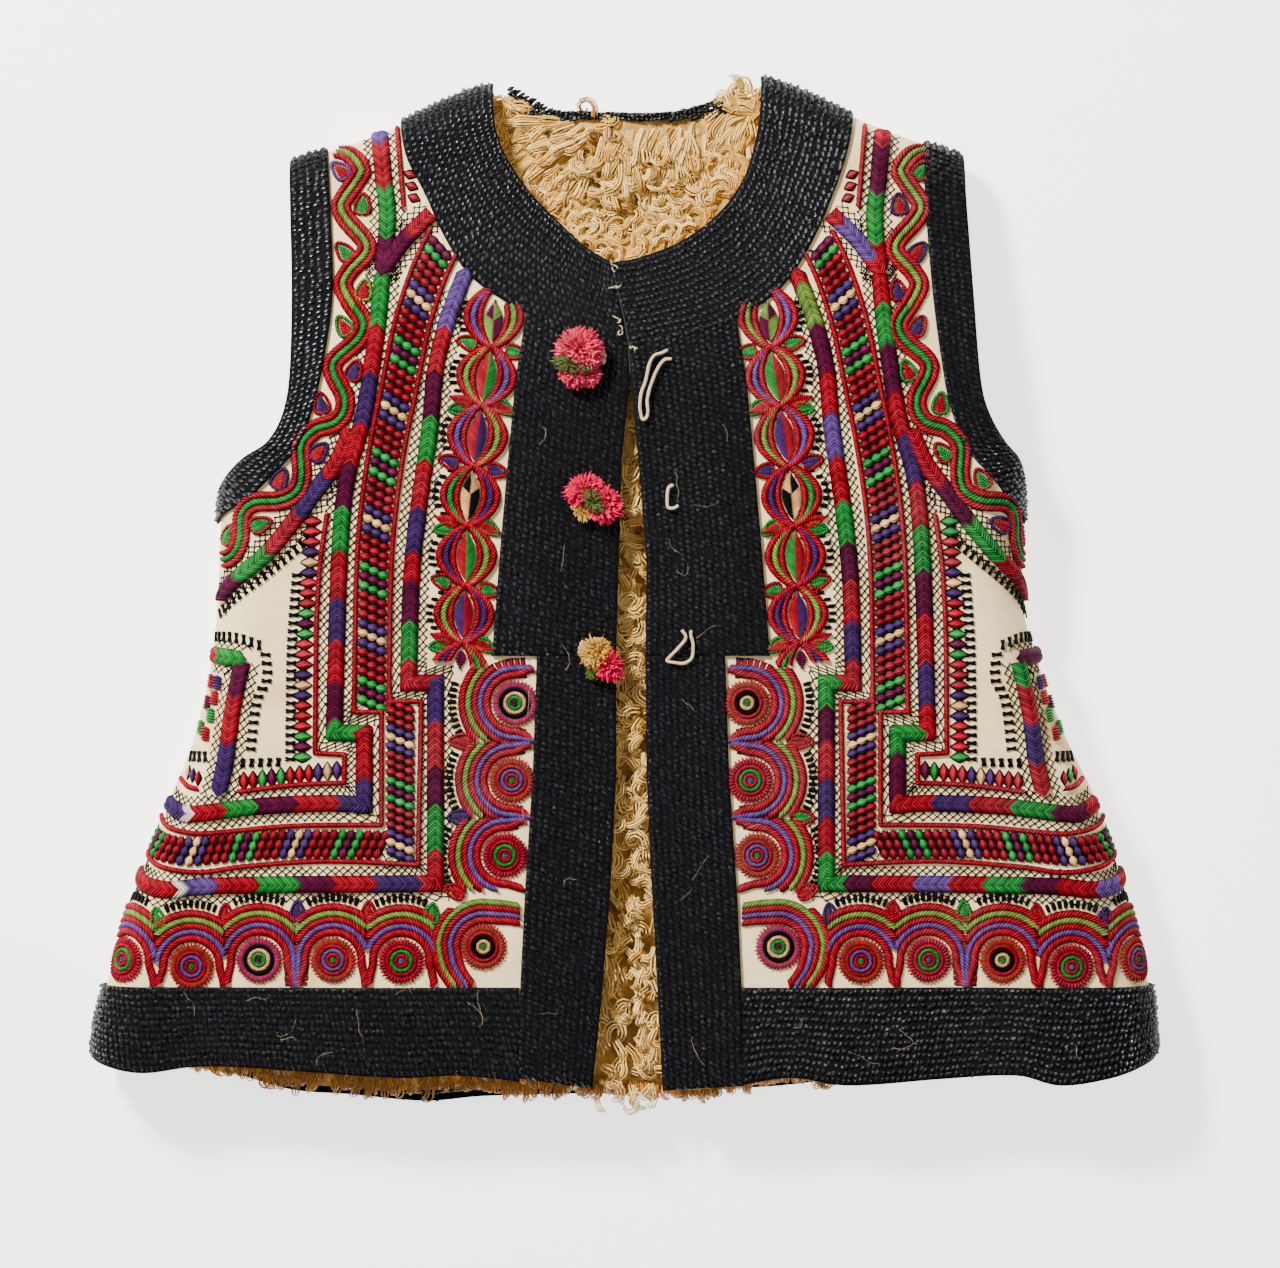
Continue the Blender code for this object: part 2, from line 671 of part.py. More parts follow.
def front_layout(side, cut):
    """Rows of (reach, y) over a front panel, from the hem to the shoulder."""
    columns = []
    inner = spread(front_edge_path(side, cut.inset), cut.upper_rows)
    shoulder_y = shoulder_start(side, table_value(ARMHOLE, side, 205.0))
    for share in column_shares(*cut.columns):

        def reach_at(y, share=share):
            start = side.sign * table_value(CENTRE_EDGE, side, y) + cut.inset
            return flared_reach(side, y, start, share, cut.turn)

        underarm = lerp(FRONT_UNDERARM_Y, UNDERARM_Y, share)
        column = [settled(reach_at, y_at) for y_at in lower_heights(side, FRONT_HEM, cut, underarm)]
        for i, (reach, y) in enumerate(inner):
            rise = i / cut.upper_rows
            outer_y = lerp(UNDERARM_Y, shoulder_y, rise ** ROWS_TO_SHOULDER)
            place = lerp(reach, outer_reach(side, outer_y, cut), share)
            level = lerp(y, outer_y, share)
            level += (shoulder_start(side, place) - lerp(inner[-1][1], shoulder_y, share)) * rise ** 3
            column.append((place, level))
        place = column[-1][0]
        for i in range(1, cut.fold_rows + 1):
            column.append((place, fold_height(side, place, i / cut.fold_rows, cut)))
        columns.append(column)
    return list(zip(*columns))


def back_neckline(x):
    """The back panel's top edge between the shoulder seams, just inside its trim."""
    line = [(row.inner[0], row.inner[1] - 2.5) for row in BACK_NECK_BAND[1:-1]]
    k = max(i for i in range(len(line) - 1) if i == 0 or line[i][0] <= x)
    return lerp(line[k][1], line[k + 1][1], (x - line[k][0]) / (line[k + 1][0] - line[k][0]))


def back_layout(cut):
    """Rows of (side, reach, y) over the back panel, from the hem to the shoulders and the neck."""
    columns = []
    neck_columns, shoulder_columns, roll_columns = cut.columns
    for side in SIDES:
        corner = abs(BACK_NECK_BAND[0 if side is LEFT else -1].inner[0]) + cut.inset
        widest = table_value(ARMHOLE, side, 205.0) - cut.inset
        neck_share = corner / widest
        shares = [neck_share * i / neck_columns for i in range(neck_columns)]
        shares += [lerp(neck_share, ROLL_SHARE, i / shoulder_columns) for i in range(shoulder_columns)]
        shares += [lerp(ROLL_SHARE, 1.0, i / roll_columns) for i in range(roll_columns + 1)]
        half = []
        for k, share in enumerate(shares):

            def reach_at(y, share=share):
                return flared_reach(side, y, 0.0, share, cut.turn)

            column = [settled(reach_at, y_at) for y_at in lower_heights(side, BACK_HEM, cut, UNDERARM_Y)]
            crest = widest * share
            under_neck = k < neck_columns
            top = back_neckline(side.sign * crest) - cut.inset if under_neck else fold_height(side, crest, 1.0, cut)
            foot = min(shoulder_start(side, crest), top - 6.0)
            for i in range(cut.upper_rows + 1):
                y = lerp(UNDERARM_Y, foot, (i / cut.upper_rows) ** ROWS_TO_SHOULDER)
                column.append((outer_reach(side, y, cut) * share, y))
            for i in range(1, cut.fold_rows + 1):
                column.append((crest, lerp(foot, top, i / cut.fold_rows)))
            half.append([(side, *place) for place in column])
        columns = half[::-1] if side is LEFT else columns + half[1:]
    return list(zip(*columns))


def make_fronts(collection):
    leather = dyed("sheepskin_leather", "E8D9BC", 0.8)
    fleece = dyed("sheepskin_fleece", "D8BE8A", 0.95)
    panel = Cut((11, 5), 10, 7, 4, 0.0, QUARTER_TURN)
    wool = Cut((7, 3), 10, 7, 3, 2.0, WOOL_TURN)
    for side in SIDES:
        rings = []
        for row in front_layout(side, panel):
            outer = [raised(side, *place, 0.0) for place in row]
            inner = [raised(side, *place, -LEATHER) for place in row]
            rings.append(outer + inner[::-1])
        lofted(f"{side.column}_front_panel", rings, leather, collection)
        rings = []
        for row in front_layout(side, wool):
            outer = [raised(side, *place, -WOOL_TUCK) for place in row]
            inner = [Vector((point.x, point.y, middle_height(point.y) + WOOL_GAP)) for point in outer]
            rings.append(outer + inner[::-1])
        lofted(f"{side.column}_front_fleece", rings, fleece, collection)


def make_back(collection):
    leather = dyed("back_leather", "E0CFAE", 0.8)
    fleece = dyed("back_fleece_wool", "D8BE8A", 0.95)
    rings = []
    for row in back_layout(Cut((3, 4, 5), 10, 7, 4, 0.0, QUARTER_TURN)):
        outer = [raised(*place, 0.0, front=False) for place in row]
        inner = [raised(*place, -LEATHER, front=False) for place in row]
        rings.append(outer + inner[::-1])
    lofted("back_panel", rings, leather, collection)
    rings = []
    for row in back_layout(Cut((2, 3, 3), 10, 7, 3, 2.0, WOOL_TURN)):
        outer = [raised(*place, -WOOL_TUCK, front=False) for place in row]
        inner = [Vector((p.x, p.y, middle_height(p.y) - WOOL_GAP + neck_puff(p.x, p.y))) for p in outer]
        rings.append(outer + inner[::-1])
    lofted("back_fleece", rings, fleece, collection)


def neck_puff(x, y):
    """The back's fleece stands higher inside the neck opening, where no front lies on it."""
    inside = 1.0 - (x / NECK_PUFF_WIDTH) ** 2 - ((y - NECK_PUFF_Y) / NECK_PUFF_LENGTH) ** 2
    return NECK_PUFF * max(inside, 0.0)


def across_band(edges, steps):
    """Points from a band's inner edge to its outer one."""
    return [tuple(lerp(a, b, i / steps) for a, b in zip(*edges)) for i in range(steps + 1)]


def resolve(side, place):
    """A (reach, y) with each None replaced by the seam there."""
    reach, y = place
    if y is None:
        return reach, shoulder_seam(side, reach)
    if reach is None:
        return side_seam(side, y), y
    return reach, y


def smooth_edges(rows, steps):
    """More crosswise lines of a band, on smooth curves through its two edges."""
    return list(zip(smooth_line([row[0] for row in rows], steps), smooth_line([row[1] for row in rows], steps)))


def band_ring(places, base, top, front):
    """A ring of a trim band through (side, reach, y) places."""
    outer = [raised(*place, top, front=front) for place in places]
    inner = [raised(*place, base, front=front) for place in places]
    return outer + inner[::-1]


def band_rings(rows, steps, across, front):
    """Rings of a trim band that follows two edges, each a list of (side, reach, y)."""
    rings = []
    base, top = (TRIM_BASE, TRIM_TOP) if front else (BACK_TRIM_BASE, BACK_TRIM_TOP)
    for edges in smooth_edges(rows, steps):
        places = [((LEFT if x < 0 else RIGHT), abs(x), y) for x, y in across_band(edges, across)]
        rings.append(band_ring(places, base, top, front))
    return rings


def make_bands(collection):
    trim = dyed("looped_wool_trim", "1B2230", 0.9)
    for side in SIDES:
        rows = [
            tuple(resolve(side, (side.sign * x, y)) for x, y in (row.inner, row.outer))
            for row in NECK_BAND[side.column]
        ]
        rings = []
        for edges in smooth_edges(rows, NECK_BAND_STEPS):
            places = [(side, *place) for place in across_band(edges, 3)]
            rings.append(band_ring(places, TRIM_BASE, TRIM_TOP, True))
        lofted(f"{side.column}_neck_band", rings, trim, collection)

        rings = []
        for row in PLACKET:
            inner = (side.sign * table_value(CENTRE_EDGE, side, row.inner_y) + SEAM_GAP, row.inner_y)
            outer = (row.outer_u + side.sign * AXIS_X, row.outer_y)
            places = [(side, *place) for place in across_band((inner, outer), 4)]
            rings.append(band_ring(places, TRIM_BASE, TRIM_TOP, True))
        lofted(f"{side.column}_placket", rings, trim, collection)

        rings = []
        start = PLACKET[0].outer_u + side.sign * AXIS_X + BORDER_GAP
        for share in column_shares(9, 6):
            low = settled(
                lambda y, s=share: flared_reach(side, y, start, s), lambda reach: table_value(FRONT_HEM, side, reach)
            )[1]
            heights = (low, (low + HEM_BAND_TOP) / 2, HEM_BAND_TOP)
            places = [(side, flared_reach(side, y, start, share), y) for y in heights]
            rings.append(band_ring(places, TRIM_BASE, TRIM_TOP, True))
        lofted(f"{side.column}_hem_band", rings, trim, collection)

        rows = [tuple(resolve(side, place) for place in (row.inner, row.outer)) for row in ARMHOLE_BAND[side.column]]
        rows = [tuple((side.sign * reach, y) for reach, y in row) for row in rows]
        for front, layer in ((True, "front"), (False, "back")):
            rings = band_rings(rows, ARMHOLE_BAND_STEPS, 2, front)
            lofted(f"{side.column}_armhole_band_{layer}", rings, trim, collection)

    rows = []
    for row in BACK_NECK_BAND:
        side = LEFT if row.inner[0] < 0 else RIGHT
        rows.append(tuple((x, shoulder_seam(side, x) if y is None else y) for x, y in (row.inner, row.outer)))
    lofted("back_neck_band", band_rings(rows, BACK_NECK_STEPS, 2, False), trim, collection)

    rings = []
    shares = column_shares(8, 6)
    for share in [-share for share in shares[:0:-1]] + shares:
        side = LEFT if share < 0 else RIGHT
        low = settled(
            lambda y: flared_reach(side, y, 0.0, abs(share)), lambda reach: table_value(BACK_HEM, side, reach) - 1.0
        )[1]
        heights = (low, (low + HEM_BAND_TOP) / 2, HEM_BAND_TOP)
        places = [(side, flared_reach(side, y, 0.0, abs(share)), y) for y in heights]
        rings.append(band_ring(places, BACK_TRIM_BASE, BACK_TRIM_TOP, False))
    lofted("back_hem_band", rings, trim, collection)


def wavy(points, period):
    """Stations moved from side to side in a wave along the line, less towards its narrow end."""
    made, run, length = [], 0.0, run_length(points)
    for i, ((u, y), across) in enumerate(zip(points, mitres(points))):
        if i:
            run += math.dist(points[i - 1], points[i])
        amplitude = lerp(VINE_WAVE_TOP, VINE_WAVE_END, ease((run / length - 0.40) / 0.22))
        shift = amplitude * math.sin(2 * math.pi * run / period)
        made.append((u + across.x * shift, y + across.y * shift))
    return made


def make_cords(collection):
    red = dyed("red_wool", "A8122A")
    green = dyed("green_wool", "2FA54A")
    for side in SIDES:
        for name, legs, section, material in (
            ("outer_cord", OUTER_CORD, CORD_SECTION, red),
            ("inner_cord", INNER_CORD, CORD_SECTION, red),
            ("brick_band", BRICK_BAND, BRICK_SECTION, red),
            ("armhole_cord", ARMHOLE_CORD, CORD_SECTION, green),
            ("side_cord", SIDE_CORD, CORD_SECTION, green),
        ):
            swept(name, side, route_points(legs), lambda share, s=section: s, material, collection)
        vine = wavy(route_points(VINE_LINE), VINE_PERIOD)
        swept("vine", side, vine, lambda share: VINE_SECTION, red, collection)


def make_ovals(collection):
    red = dyed("oval_wool", "A8122A")
    for side in SIDES:
        points = route_points(OVAL_LINE)
        length = run_length(points)

        def section(share):
            half = OVAL_NECK + OVAL_SWELL * math.sin(math.pi * share * length / OVAL_PITCH) ** 2
            return [(-half, STITCH_BASE), (-0.7 * half, OVAL_TOP), (0.7 * half, OVAL_TOP), (half, STITCH_BASE)]

        swept("oval_chain", side, points, section, red, collection)


def arch_height(along, centres):
    """How far the scallops reach out from the line of their rosettes."""
    nearest = min(abs(along - centre) for centre in centres)
    return math.sqrt(max(ARCH_RADIUS ** 2 - nearest ** 2, 100.0))


def rosettes(name, side, centres, collection):
    """Shallow domed discs that follow the leather, as one mesh."""
    bm = bmesh.new()
    for u, y in centres:
        cone = bmesh.ops.create_cone(
            bm, cap_ends=True, cap_tris=True, segments=ROSETTE_SIDES, radius1=ROSETTE_RADIUS,
            radius2=ROSETTE_SHOULDER, depth=1.0
        )
        for vert in cone["verts"]:
            height = ROSETTE_TOP if vert.co.z > 0 else ROSETTE_FOOT
            vert.co = on_front(side, u + vert.co.x, y + vert.co.y, height) * MM
    return add_object(name, mesh_from(name, bm), dyed(name, "7A2A2E"), collection)


def join_helper(made, helper):
    """Makes the helper part of the object."""
    union = made.modifiers.new(helper.name, "BOOLEAN")
    union.operation = "UNION"
    union.object = helper
    helper.hide_render = True
    helper.display_type = "WIRE"


def placket_edge(y):
    """The lower placket's far edge, as a distance from the axis."""
    rows = PLACKET[1:5]
    k = max(i for i in range(len(rows) - 1) if i == 0 or rows[i].outer_y <= y)
    share = (y - rows[k].outer_y) / (rows[k + 1].outer_y - rows[k].outer_y)
    return lerp(rows[k].outer_u, rows[k + 1].outer_u, share)


def arch_stations(start, end, centres, end_steps=4):
    """Where a scalloped pad has its rings: each cusp, each arch's middle and halfway between, and more at its end."""
    centres = sorted(centres)
    cusps = [start, *((a + b) / 2 for a, b in zip(centres, centres[1:])), end]
    made = [start]
    for low, middle, high in zip(cusps, centres, cusps[1:]):
        made += [(low + middle) / 2, middle, (middle + high) / 2, high]
    return [*made[:-4], *(lerp(made[-5], end, i / end_steps) for i in range(1, end_steps + 1))]


def make_borders(collection, helpers):
    wool = dyed("scallop_wool", "A8122A")
    for side in SIDES:
        centres = [(placket_edge(y) + BORDER_GAP + ROSETTE_RADIUS, y) for y in COLUMN_ROSETTES]
        rings = []
        for y in arch_stations(*COLUMN_PAD_ENDS, COLUMN_ROSETTES):
            near = placket_edge(y) + BORDER_GAP
            far = near + ROSETTE_RADIUS + arch_height(y, COLUMN_ROSETTES)
            line = ((near, STITCH_BASE), (near, PAD_TOP), (far - PAD_SLOPE, PAD_TOP), (far, STITCH_BASE))
            rings.append([on_front(side, u, y, h) for u, h in line])
        column = lofted(f"{side.column}_column_border", rings, wool, collection)
        join_helper(column, rosettes(f"{side.column}_column_rosettes", side, centres, helpers))

        rings = []
        for u in arch_stations(PLACKET[1].outer_u + BORDER_GAP, HEM_PAD_END[side.column], HEM_ROSETTES, 8):
            far = HEM_ROSETTE_Y + arch_height(u, HEM_ROSETTES)
            heights = [lerp(HEM_PAD_FOOT, far, i / HEM_PAD_SPANS) for i in range(HEM_PAD_SPANS + 1)]
            top = [on_front(side, u, y, PAD_TOP) for y in heights]
            base = [on_front(side, u, y, STITCH_BASE) for y in heights]
            rings.append(top + base[::-1])
        hem = lofted(f"{side.column}_hem_border", rings, wool, collection)
        centres = [(u, HEM_ROSETTE_Y) for u in HEM_ROSETTES if u + ROSETTE_RADIUS < HEM_PAD_END[side.column]]
        join_helper(hem, rosettes(f"{side.column}_hem_rosettes", side, centres, helpers))


def wool_ball(pompom):
    """A flattened ball set on the placket, with a three-sided lock of wool on every other face that bears any."""
    core = pompom.radius * POMPOM_CORE
    bm = bmesh.new()
    bmesh.ops.create_icosphere(bm, subdivisions=2, radius=core)
    woolly = [face for face in bm.faces if face.normal.z > -0.25 and face.normal.x > pompom.wool_from]
    for face in woolly[::2]:
        normal = face.normal.copy()
        centre = face.calc_center_median()
        tip = bmesh.ops.extrude_face_region(bm, geom=[face])["geom"]
        for vert in (element for element in tip if isinstance(element, bmesh.types.BMVert)):
            vert.co = centre.lerp(vert.co, 0.55) + normal * (pompom.radius - core)
        bm.faces.remove(face)
    floor = -POMPOM_FLOOR * pompom.radius
    seat = raised(LEFT, -pompom.x, pompom.y, POMPOM_SEAT)
    for vert in bm.verts:
        height = max(vert.co.z * POMPOM_FLATTEN, floor) - floor
        vert.co = (Vector((vert.co.x, vert.co.y, height)) + seat) * MM
    return mesh_from(pompom.name, bm)


def make_pompoms(collection, helpers):
    pink = dyed("pompom_wool", "E0406E")
    for pompom in POMPOMS:
        made = add_object(pompom.name, wool_ball(pompom), pink, collection)
    join_helper(made, add_object(KNOB.name, wool_ball(KNOB), dyed("bare_felt", "7A4A22"), helpers))


def make_strings(collection):
    cream = dyed("linen_string", "E9D3A8", 0.9)
    for name, points in STRING_LOOPS.items():
        line = smooth_line(points, 6)
        route = spread(line, round(run_length(line) / STRING_STATION))
        curve = bpy.data.curves.new(name, "CURVE")
        curve.dimensions = "3D"
        curve.bevel_depth = STRING_RADIUS * MM
        curve.bevel_resolution = STRING_BEVEL_STEPS
        curve.use_fill_caps = True
        spline = curve.splines.new("POLY")
        spline.points.add(len(route) - 1)
        for control, (x, y) in zip(spline.points, route):
            place = raised(RIGHT, x, y, TRIM_TOP + STRING_GAP + STRING_RADIUS) * MM
            control.co = (*place, 1.0)
        add_object(name, curve, cream, collection)


def clear_scene():
    for found in list(bpy.data.objects):
        bpy.data.objects.remove(found)


def main():
    clear_scene()
    vest = bpy.data.collections.new("embroidered_vest")
    helpers = bpy.data.collections.new("helpers")
    for collection in (vest, helpers):
        bpy.context.scene.collection.children.link(collection)
    make_back(vest)
    make_fronts(vest)
    make_bands(vest)
    make_cords(vest)
    make_ovals(vest)
    make_borders(vest, helpers)
    make_pompoms(vest, helpers)
    make_strings(vest)


main()
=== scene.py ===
"""Looks of an embroidered sheepskin vest, laid flat on its back.

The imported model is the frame, in metres. The cloth itself is worked out in millimetres, as in the part: a place on a
panel is (reach, y), where reach is the distance from the plane X = 0 along the leather, out over the rolled side, and
y the distance along it towards the shoulder, out over the shoulder fold. Embroidery is laid out flat as (u, y, height),
where u is the distance from the axis about which the two fronts mirror each other, and raised() puts it on the leather.
"""

from __future__ import annotations

import json
import logging
import math
from dataclasses import dataclass, field
from enum import Enum
from typing import Callable, NamedTuple, Sequence

import bpy
import numpy as np
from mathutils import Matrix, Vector

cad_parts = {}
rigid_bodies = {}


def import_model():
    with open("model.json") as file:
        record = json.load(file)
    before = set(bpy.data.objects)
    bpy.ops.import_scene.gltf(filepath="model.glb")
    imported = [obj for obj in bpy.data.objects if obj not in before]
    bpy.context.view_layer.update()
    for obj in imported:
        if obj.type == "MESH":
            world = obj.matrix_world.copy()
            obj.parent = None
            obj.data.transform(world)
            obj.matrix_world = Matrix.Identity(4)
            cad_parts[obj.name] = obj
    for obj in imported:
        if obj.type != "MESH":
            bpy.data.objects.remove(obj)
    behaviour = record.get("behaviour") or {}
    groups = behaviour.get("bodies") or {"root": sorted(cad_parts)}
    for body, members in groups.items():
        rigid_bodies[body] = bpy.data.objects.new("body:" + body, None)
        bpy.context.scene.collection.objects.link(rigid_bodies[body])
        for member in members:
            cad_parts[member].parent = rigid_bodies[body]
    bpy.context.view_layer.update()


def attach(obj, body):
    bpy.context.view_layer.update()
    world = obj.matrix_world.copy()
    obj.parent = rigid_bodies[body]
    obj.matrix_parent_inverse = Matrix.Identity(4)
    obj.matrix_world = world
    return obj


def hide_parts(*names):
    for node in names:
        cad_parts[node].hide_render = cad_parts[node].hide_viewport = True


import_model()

log = logging.getLogger("vest")
Array = np.ndarray
Material, NodeTree, Node = bpy.types.Material, bpy.types.NodeTree, bpy.types.Node

MM = 0.001
BODY = "root"
SEED = 7

# The body of the garment, as the part has it.

LEATHER = 2.0  # thickness of the sheepskin without its wool
TRIM_BASE, TRIM_BED, TRIM_TOP = 0.85, 2.3, 4.3  # of the looped wool trim, over the front leather
BACK_TRIM_BASE, BACK_TRIM_BED, BACK_TRIM_TOP = 0.9, 2.2, 3.4  # the same under the back, where it is pressed flat
STITCH_BASE = 0.8
SEAM_GAP = 0.2
WOOL_GAP = 0.4

ROLL_RADIUS = 25.0
SHOULDER_RADIUS = 17.0
BODY_MIDDLE, SHOULDER_MIDDLE = 25.0, 17.0
ARMHOLE_DROOP, OPENING_DROOP = 4.0, 3.0
ARMHOLE_DROOP_REACH, OPENING_DROOP_REACH = 52.0, 48.0
CLOSED_FROM_Y, CLOSED_AT_Y = 50.0, 120.0
NECK_PUFF, NECK_PUFF_Y, NECK_PUFF_WIDTH, NECK_PUFF_LENGTH = 9.0, 232.0, 44.0, 36.0
HEM_LIFT_MARGIN, LIFT_SLOPE = 8.0, 32.0
ARMHOLE_LIFT, UNDERARM_LIFT = 25.0, 46.0
NECK_LIFT_WIDTH, NECK_LIFT_LENGTH, NECK_LIFT_Y = 114.0, 64.0, 262.0
UNDERARM_Y = 43.0
FRONT_UNDERARM_Y = 20.0
HEM_BAND_TOP = -211.0
AXIS_X = 3.6
BOX_MIDDLE = (0, -1.7, 0)  # the frame's origin in the part's millimetres
QUARTER_TURN = math.pi / 2
ROLL_SHARE = 0.84
ROWS_TO_SHOULDER = 1.5
GOLDEN = 0.618  # step that spreads the stitches' shades evenly


class Side(NamedTuple):
    """Which half of the garment, as seen from above."""

    sign: int
    column: str


LEFT, RIGHT = Side(-1, "left"), Side(1, "right")
SIDES = (LEFT, RIGHT)


def clamp(value: Array, low: float, high: float) -> Array:
    """Args: value, low and high bounds. Returns: the value kept between them."""
    return np.minimum(np.maximum(value, low), high)


def ease(value: Array) -> Array:
    """Args: value from 0 to 1. Returns: 0 to 1 with level ends."""
    value = clamp(value, 0, 1)
    return value * value * (3 - 2 * value)


def lerp(a: Array, b: Array, share: Array) -> Array:
    """Args: a, b and a share. Returns: that share of the way from a to b."""
    return a + (b - a) * share


def stacked(*parts: Array) -> Array:
    """Args: parts that broadcast together. Returns: them side by side, along a new last axis."""
    return np.stack(np.broadcast_arrays(*parts), axis=-1)


def unit(vectors: Array) -> Array:
    """Args: vectors along the last axis. Returns: the same at length 1."""
    return vectors / np.maximum(np.linalg.norm(vectors, axis=-1, keepdims=True), 1e-9)


class Table:
    """A smooth curve through rows of (place, left value, right value), level past its ends."""

    def __init__(self, rows: Sequence[tuple]) -> None:
        """Args: rows: the stations, in order of place."""
        self.at = np.array([row[0] for row in rows], float)
        self.values = {"left": np.array([row[1] for row in rows], float),
                       "right": np.array([row[2] for row in rows], float)}

    def __call__(self, side: Side, at: Array) -> Array:
        """Args: side, and the places. Returns: the side's value at each place."""
        values = self.values[side.column]
        last = len(self.at) - 1
        at = clamp(np.asarray(at, float), self.at[0], self.at[-1])
        k = np.minimum(np.searchsorted(self.at, at, side="right") - 1, last - 1)
        before, after = np.maximum(k - 1, 0), np.minimum(k + 2, last)
        slope_in = (values[k + 1] - values[before]) / (self.at[k + 1] - self.at[before])
        slope_out = (values[after] - values[k]) / (self.at[after] - self.at[k])
        span = self.at[k + 1] - self.at[k]
        t = (at - self.at[k]) / span
        rise = values[k + 1] - values[k]
        bend = (slope_in * span - rise) * (1 - t) + (rise - slope_out * span) * t
        return values[k] + rise * t + t * (1 - t) * bend


SIDE_OUTLINE = Table([
    (-252, 277, 276.5), (-238.7, 276.5, 277), (-207.5, 270, 274), (-176.3, 261, 266),
    (-145.1, 249, 256.5), (-113.9, 238, 247), (-82.7, 225.5, 232), (-41, 216, 216),
    (-9.9, 213, 208.5), (26.5, 211.5, 208), (52, 210, 208.2),
])
ARMHOLE = Table([
    (UNDERARM_Y, 223.4, 223), (52.5, 207.5, 215), (62.9, 192, 206), (73.3, 182.5, 195),
    (83.7, 176.5, 189.5), (104.5, 172.5, 184), (146, 171.5, 180.5), (198, 173, 177), (260, 173, 174.5),
])
SHOULDER_LINE = Table([(0, 259.5, 264), (70, 259.5, 264), (125, 236.5, 242), (180, 217.5, 221)])
FRONT_HEM = Table([
    (0, -265, -263), (40, -260, -264), (85, -255, -256), (115, -256, -260),
    (165, -253, -257), (205, -250.5, -255), (225, -251, -260), (250, -254, -257),
    (272, -250, -250), (295, -243.5, -242.5),
])
BACK_HEM = Table([
    (0, -266, -266), (75, -268, -263), (105, -270.5, -260), (145, -267, -256.5),
    (176, -264.5, -254), (205, -256.5, -252), (250, -250, -250), (295, -243.5, -242.5),
])
FRONT_OPENING_TOP = 121.0
NECK_FRONT_Y = 164.0
CENTRE_EDGE = Table([
    (-266, -18, 21.5), (-210, -12.5, 18.7), (-114, -5.7, 13.5), (-50, -5.7, 12.5), (11, -4.2, 13),
    (68, -2.4, 8.3), (FRONT_OPENING_TOP, 2.2, 2.8), (NECK_FRONT_Y, -6.4, -5.8),
])


class Edges(NamedTuple):
    """A crosswise line of a trim band: a point on each edge, as (X, y). A None is on the seam there."""

    inner: tuple
    outer: tuple


def edge_rows(*rows: tuple) -> list[Edges]:
    """Args: rows: X and y of the inner and of the outer point. Returns: them as crosswise lines."""
    return [Edges(row[:2], row[2:]) for row in rows]


NECK_BAND = {
    "left": edge_rows(
        (-6.4, 164, 2.2, 121), (-20, 172, -26, 127.5), (-33.8, 184.6, -52.5, 140), (-48, 199, -78.5, 157),
        (-59, 214, -93, 178), (-66.5, 229, -104, 202), (-69.5, 243, -114.5, 224), (-70, None, -116.5, None),
    ),
    "right": edge_rows(
        (-5.8, 164, 2.8, 121), (8, 166.5, 24, 125), (30, 175, 54, 134), (50, 190, 79, 149.5), (63, 208, 95.5, 172),
        (69.5, 228, 108, 199), (72.5, 246, 117.5, 228), (73, None, 119.5, None),
    ),
}
BACK_NECK_BAND = edge_rows(
    (-70, None, -116.5, None), (-69, 247.5, -112, 226), (-61, 250, -94, 213), (-44, 248.5, -60, 202),
    (0, 248, 0, 199), (46, 249, 62, 203), (64, 251.5, 97, 215), (72, 250.5, 115, 229), (73, None, 119.5, None),
)
ARMHOLE_BAND = {
    "left": edge_rows(
        (155.5, None, 173, None), (153.5, 200, 173, 200), (151.5, 150, 171.5, 150), (156.5, 111, 172.3, 108),
        (162.5, 86, 176, 86), (169, 69.5, 184, 71.5), (183, 54, 196, 63), (198.5, 40.5, 209, 53),
        (None, 30, None, UNDERARM_Y),
    ),
    "right": edge_rows(
        (157, None, 175.5, None), (157, 202, 177, 202), (160.5, 150, 180.4, 150), (165.5, 110, 183.6, 106),
        (169.5, 90, 188, 87), (177, 69.5, 196.5, 72), (190.5, 54, 207, 63), (203, 40.5, 214.5, 54),
        (None, 30, None, UNDERARM_Y),
    ),
}


class PlacketRow(NamedTuple):
    """A crosswise line of the placket: its y at the front edge, and its far end as (u, y)."""

    inner_y: float
    outer_u: float
    outer_y: float


PLACKET_STEP_Y = -39.0
LOWER_PLACKET = [
    PlacketRow(-263.5, 58.5, -258), PlacketRow(-211, 57.5, -211), PlacketRow(-160, 55, -160),
    PlacketRow(-100, 51, -100), PlacketRow(PLACKET_STEP_Y - 0.8, 48.9, PLACKET_STEP_Y - 0.8),
]
UPPER_PLACKET = [
    PlacketRow(PLACKET_STEP_Y, 70.7, PLACKET_STEP_Y), PlacketRow(10, 67, 10), PlacketRow(62, 62.5, 62),
    PlacketRow(95, 58.5, 105), PlacketRow(120.5, 53, 139),
]
RIGHT_PLACKET_FOOT = PlacketRow(-264.7, 58.5, -262)


class Fold(NamedTuple):
    """A soft ridge, or a dent where height is negative, that runs up from the front hem."""

    x: float
    lean: float
    width: float
    height: float
    length: float


FOLDS = [
    Fold(-226, 0.10, 30, -3, 120), Fold(-128, 0.05, 34, 2.5, 210), Fold(104, -0.05, 34, 2.5, 190),
    Fold(176, -0.20, 27, -2.5, 110), Fold(214, -0.20, 28, 3.5, 110),
]


class Layer(Enum):
    """Which of the two skins a place is on."""

    FRONT = "front"
    BACK = "back"


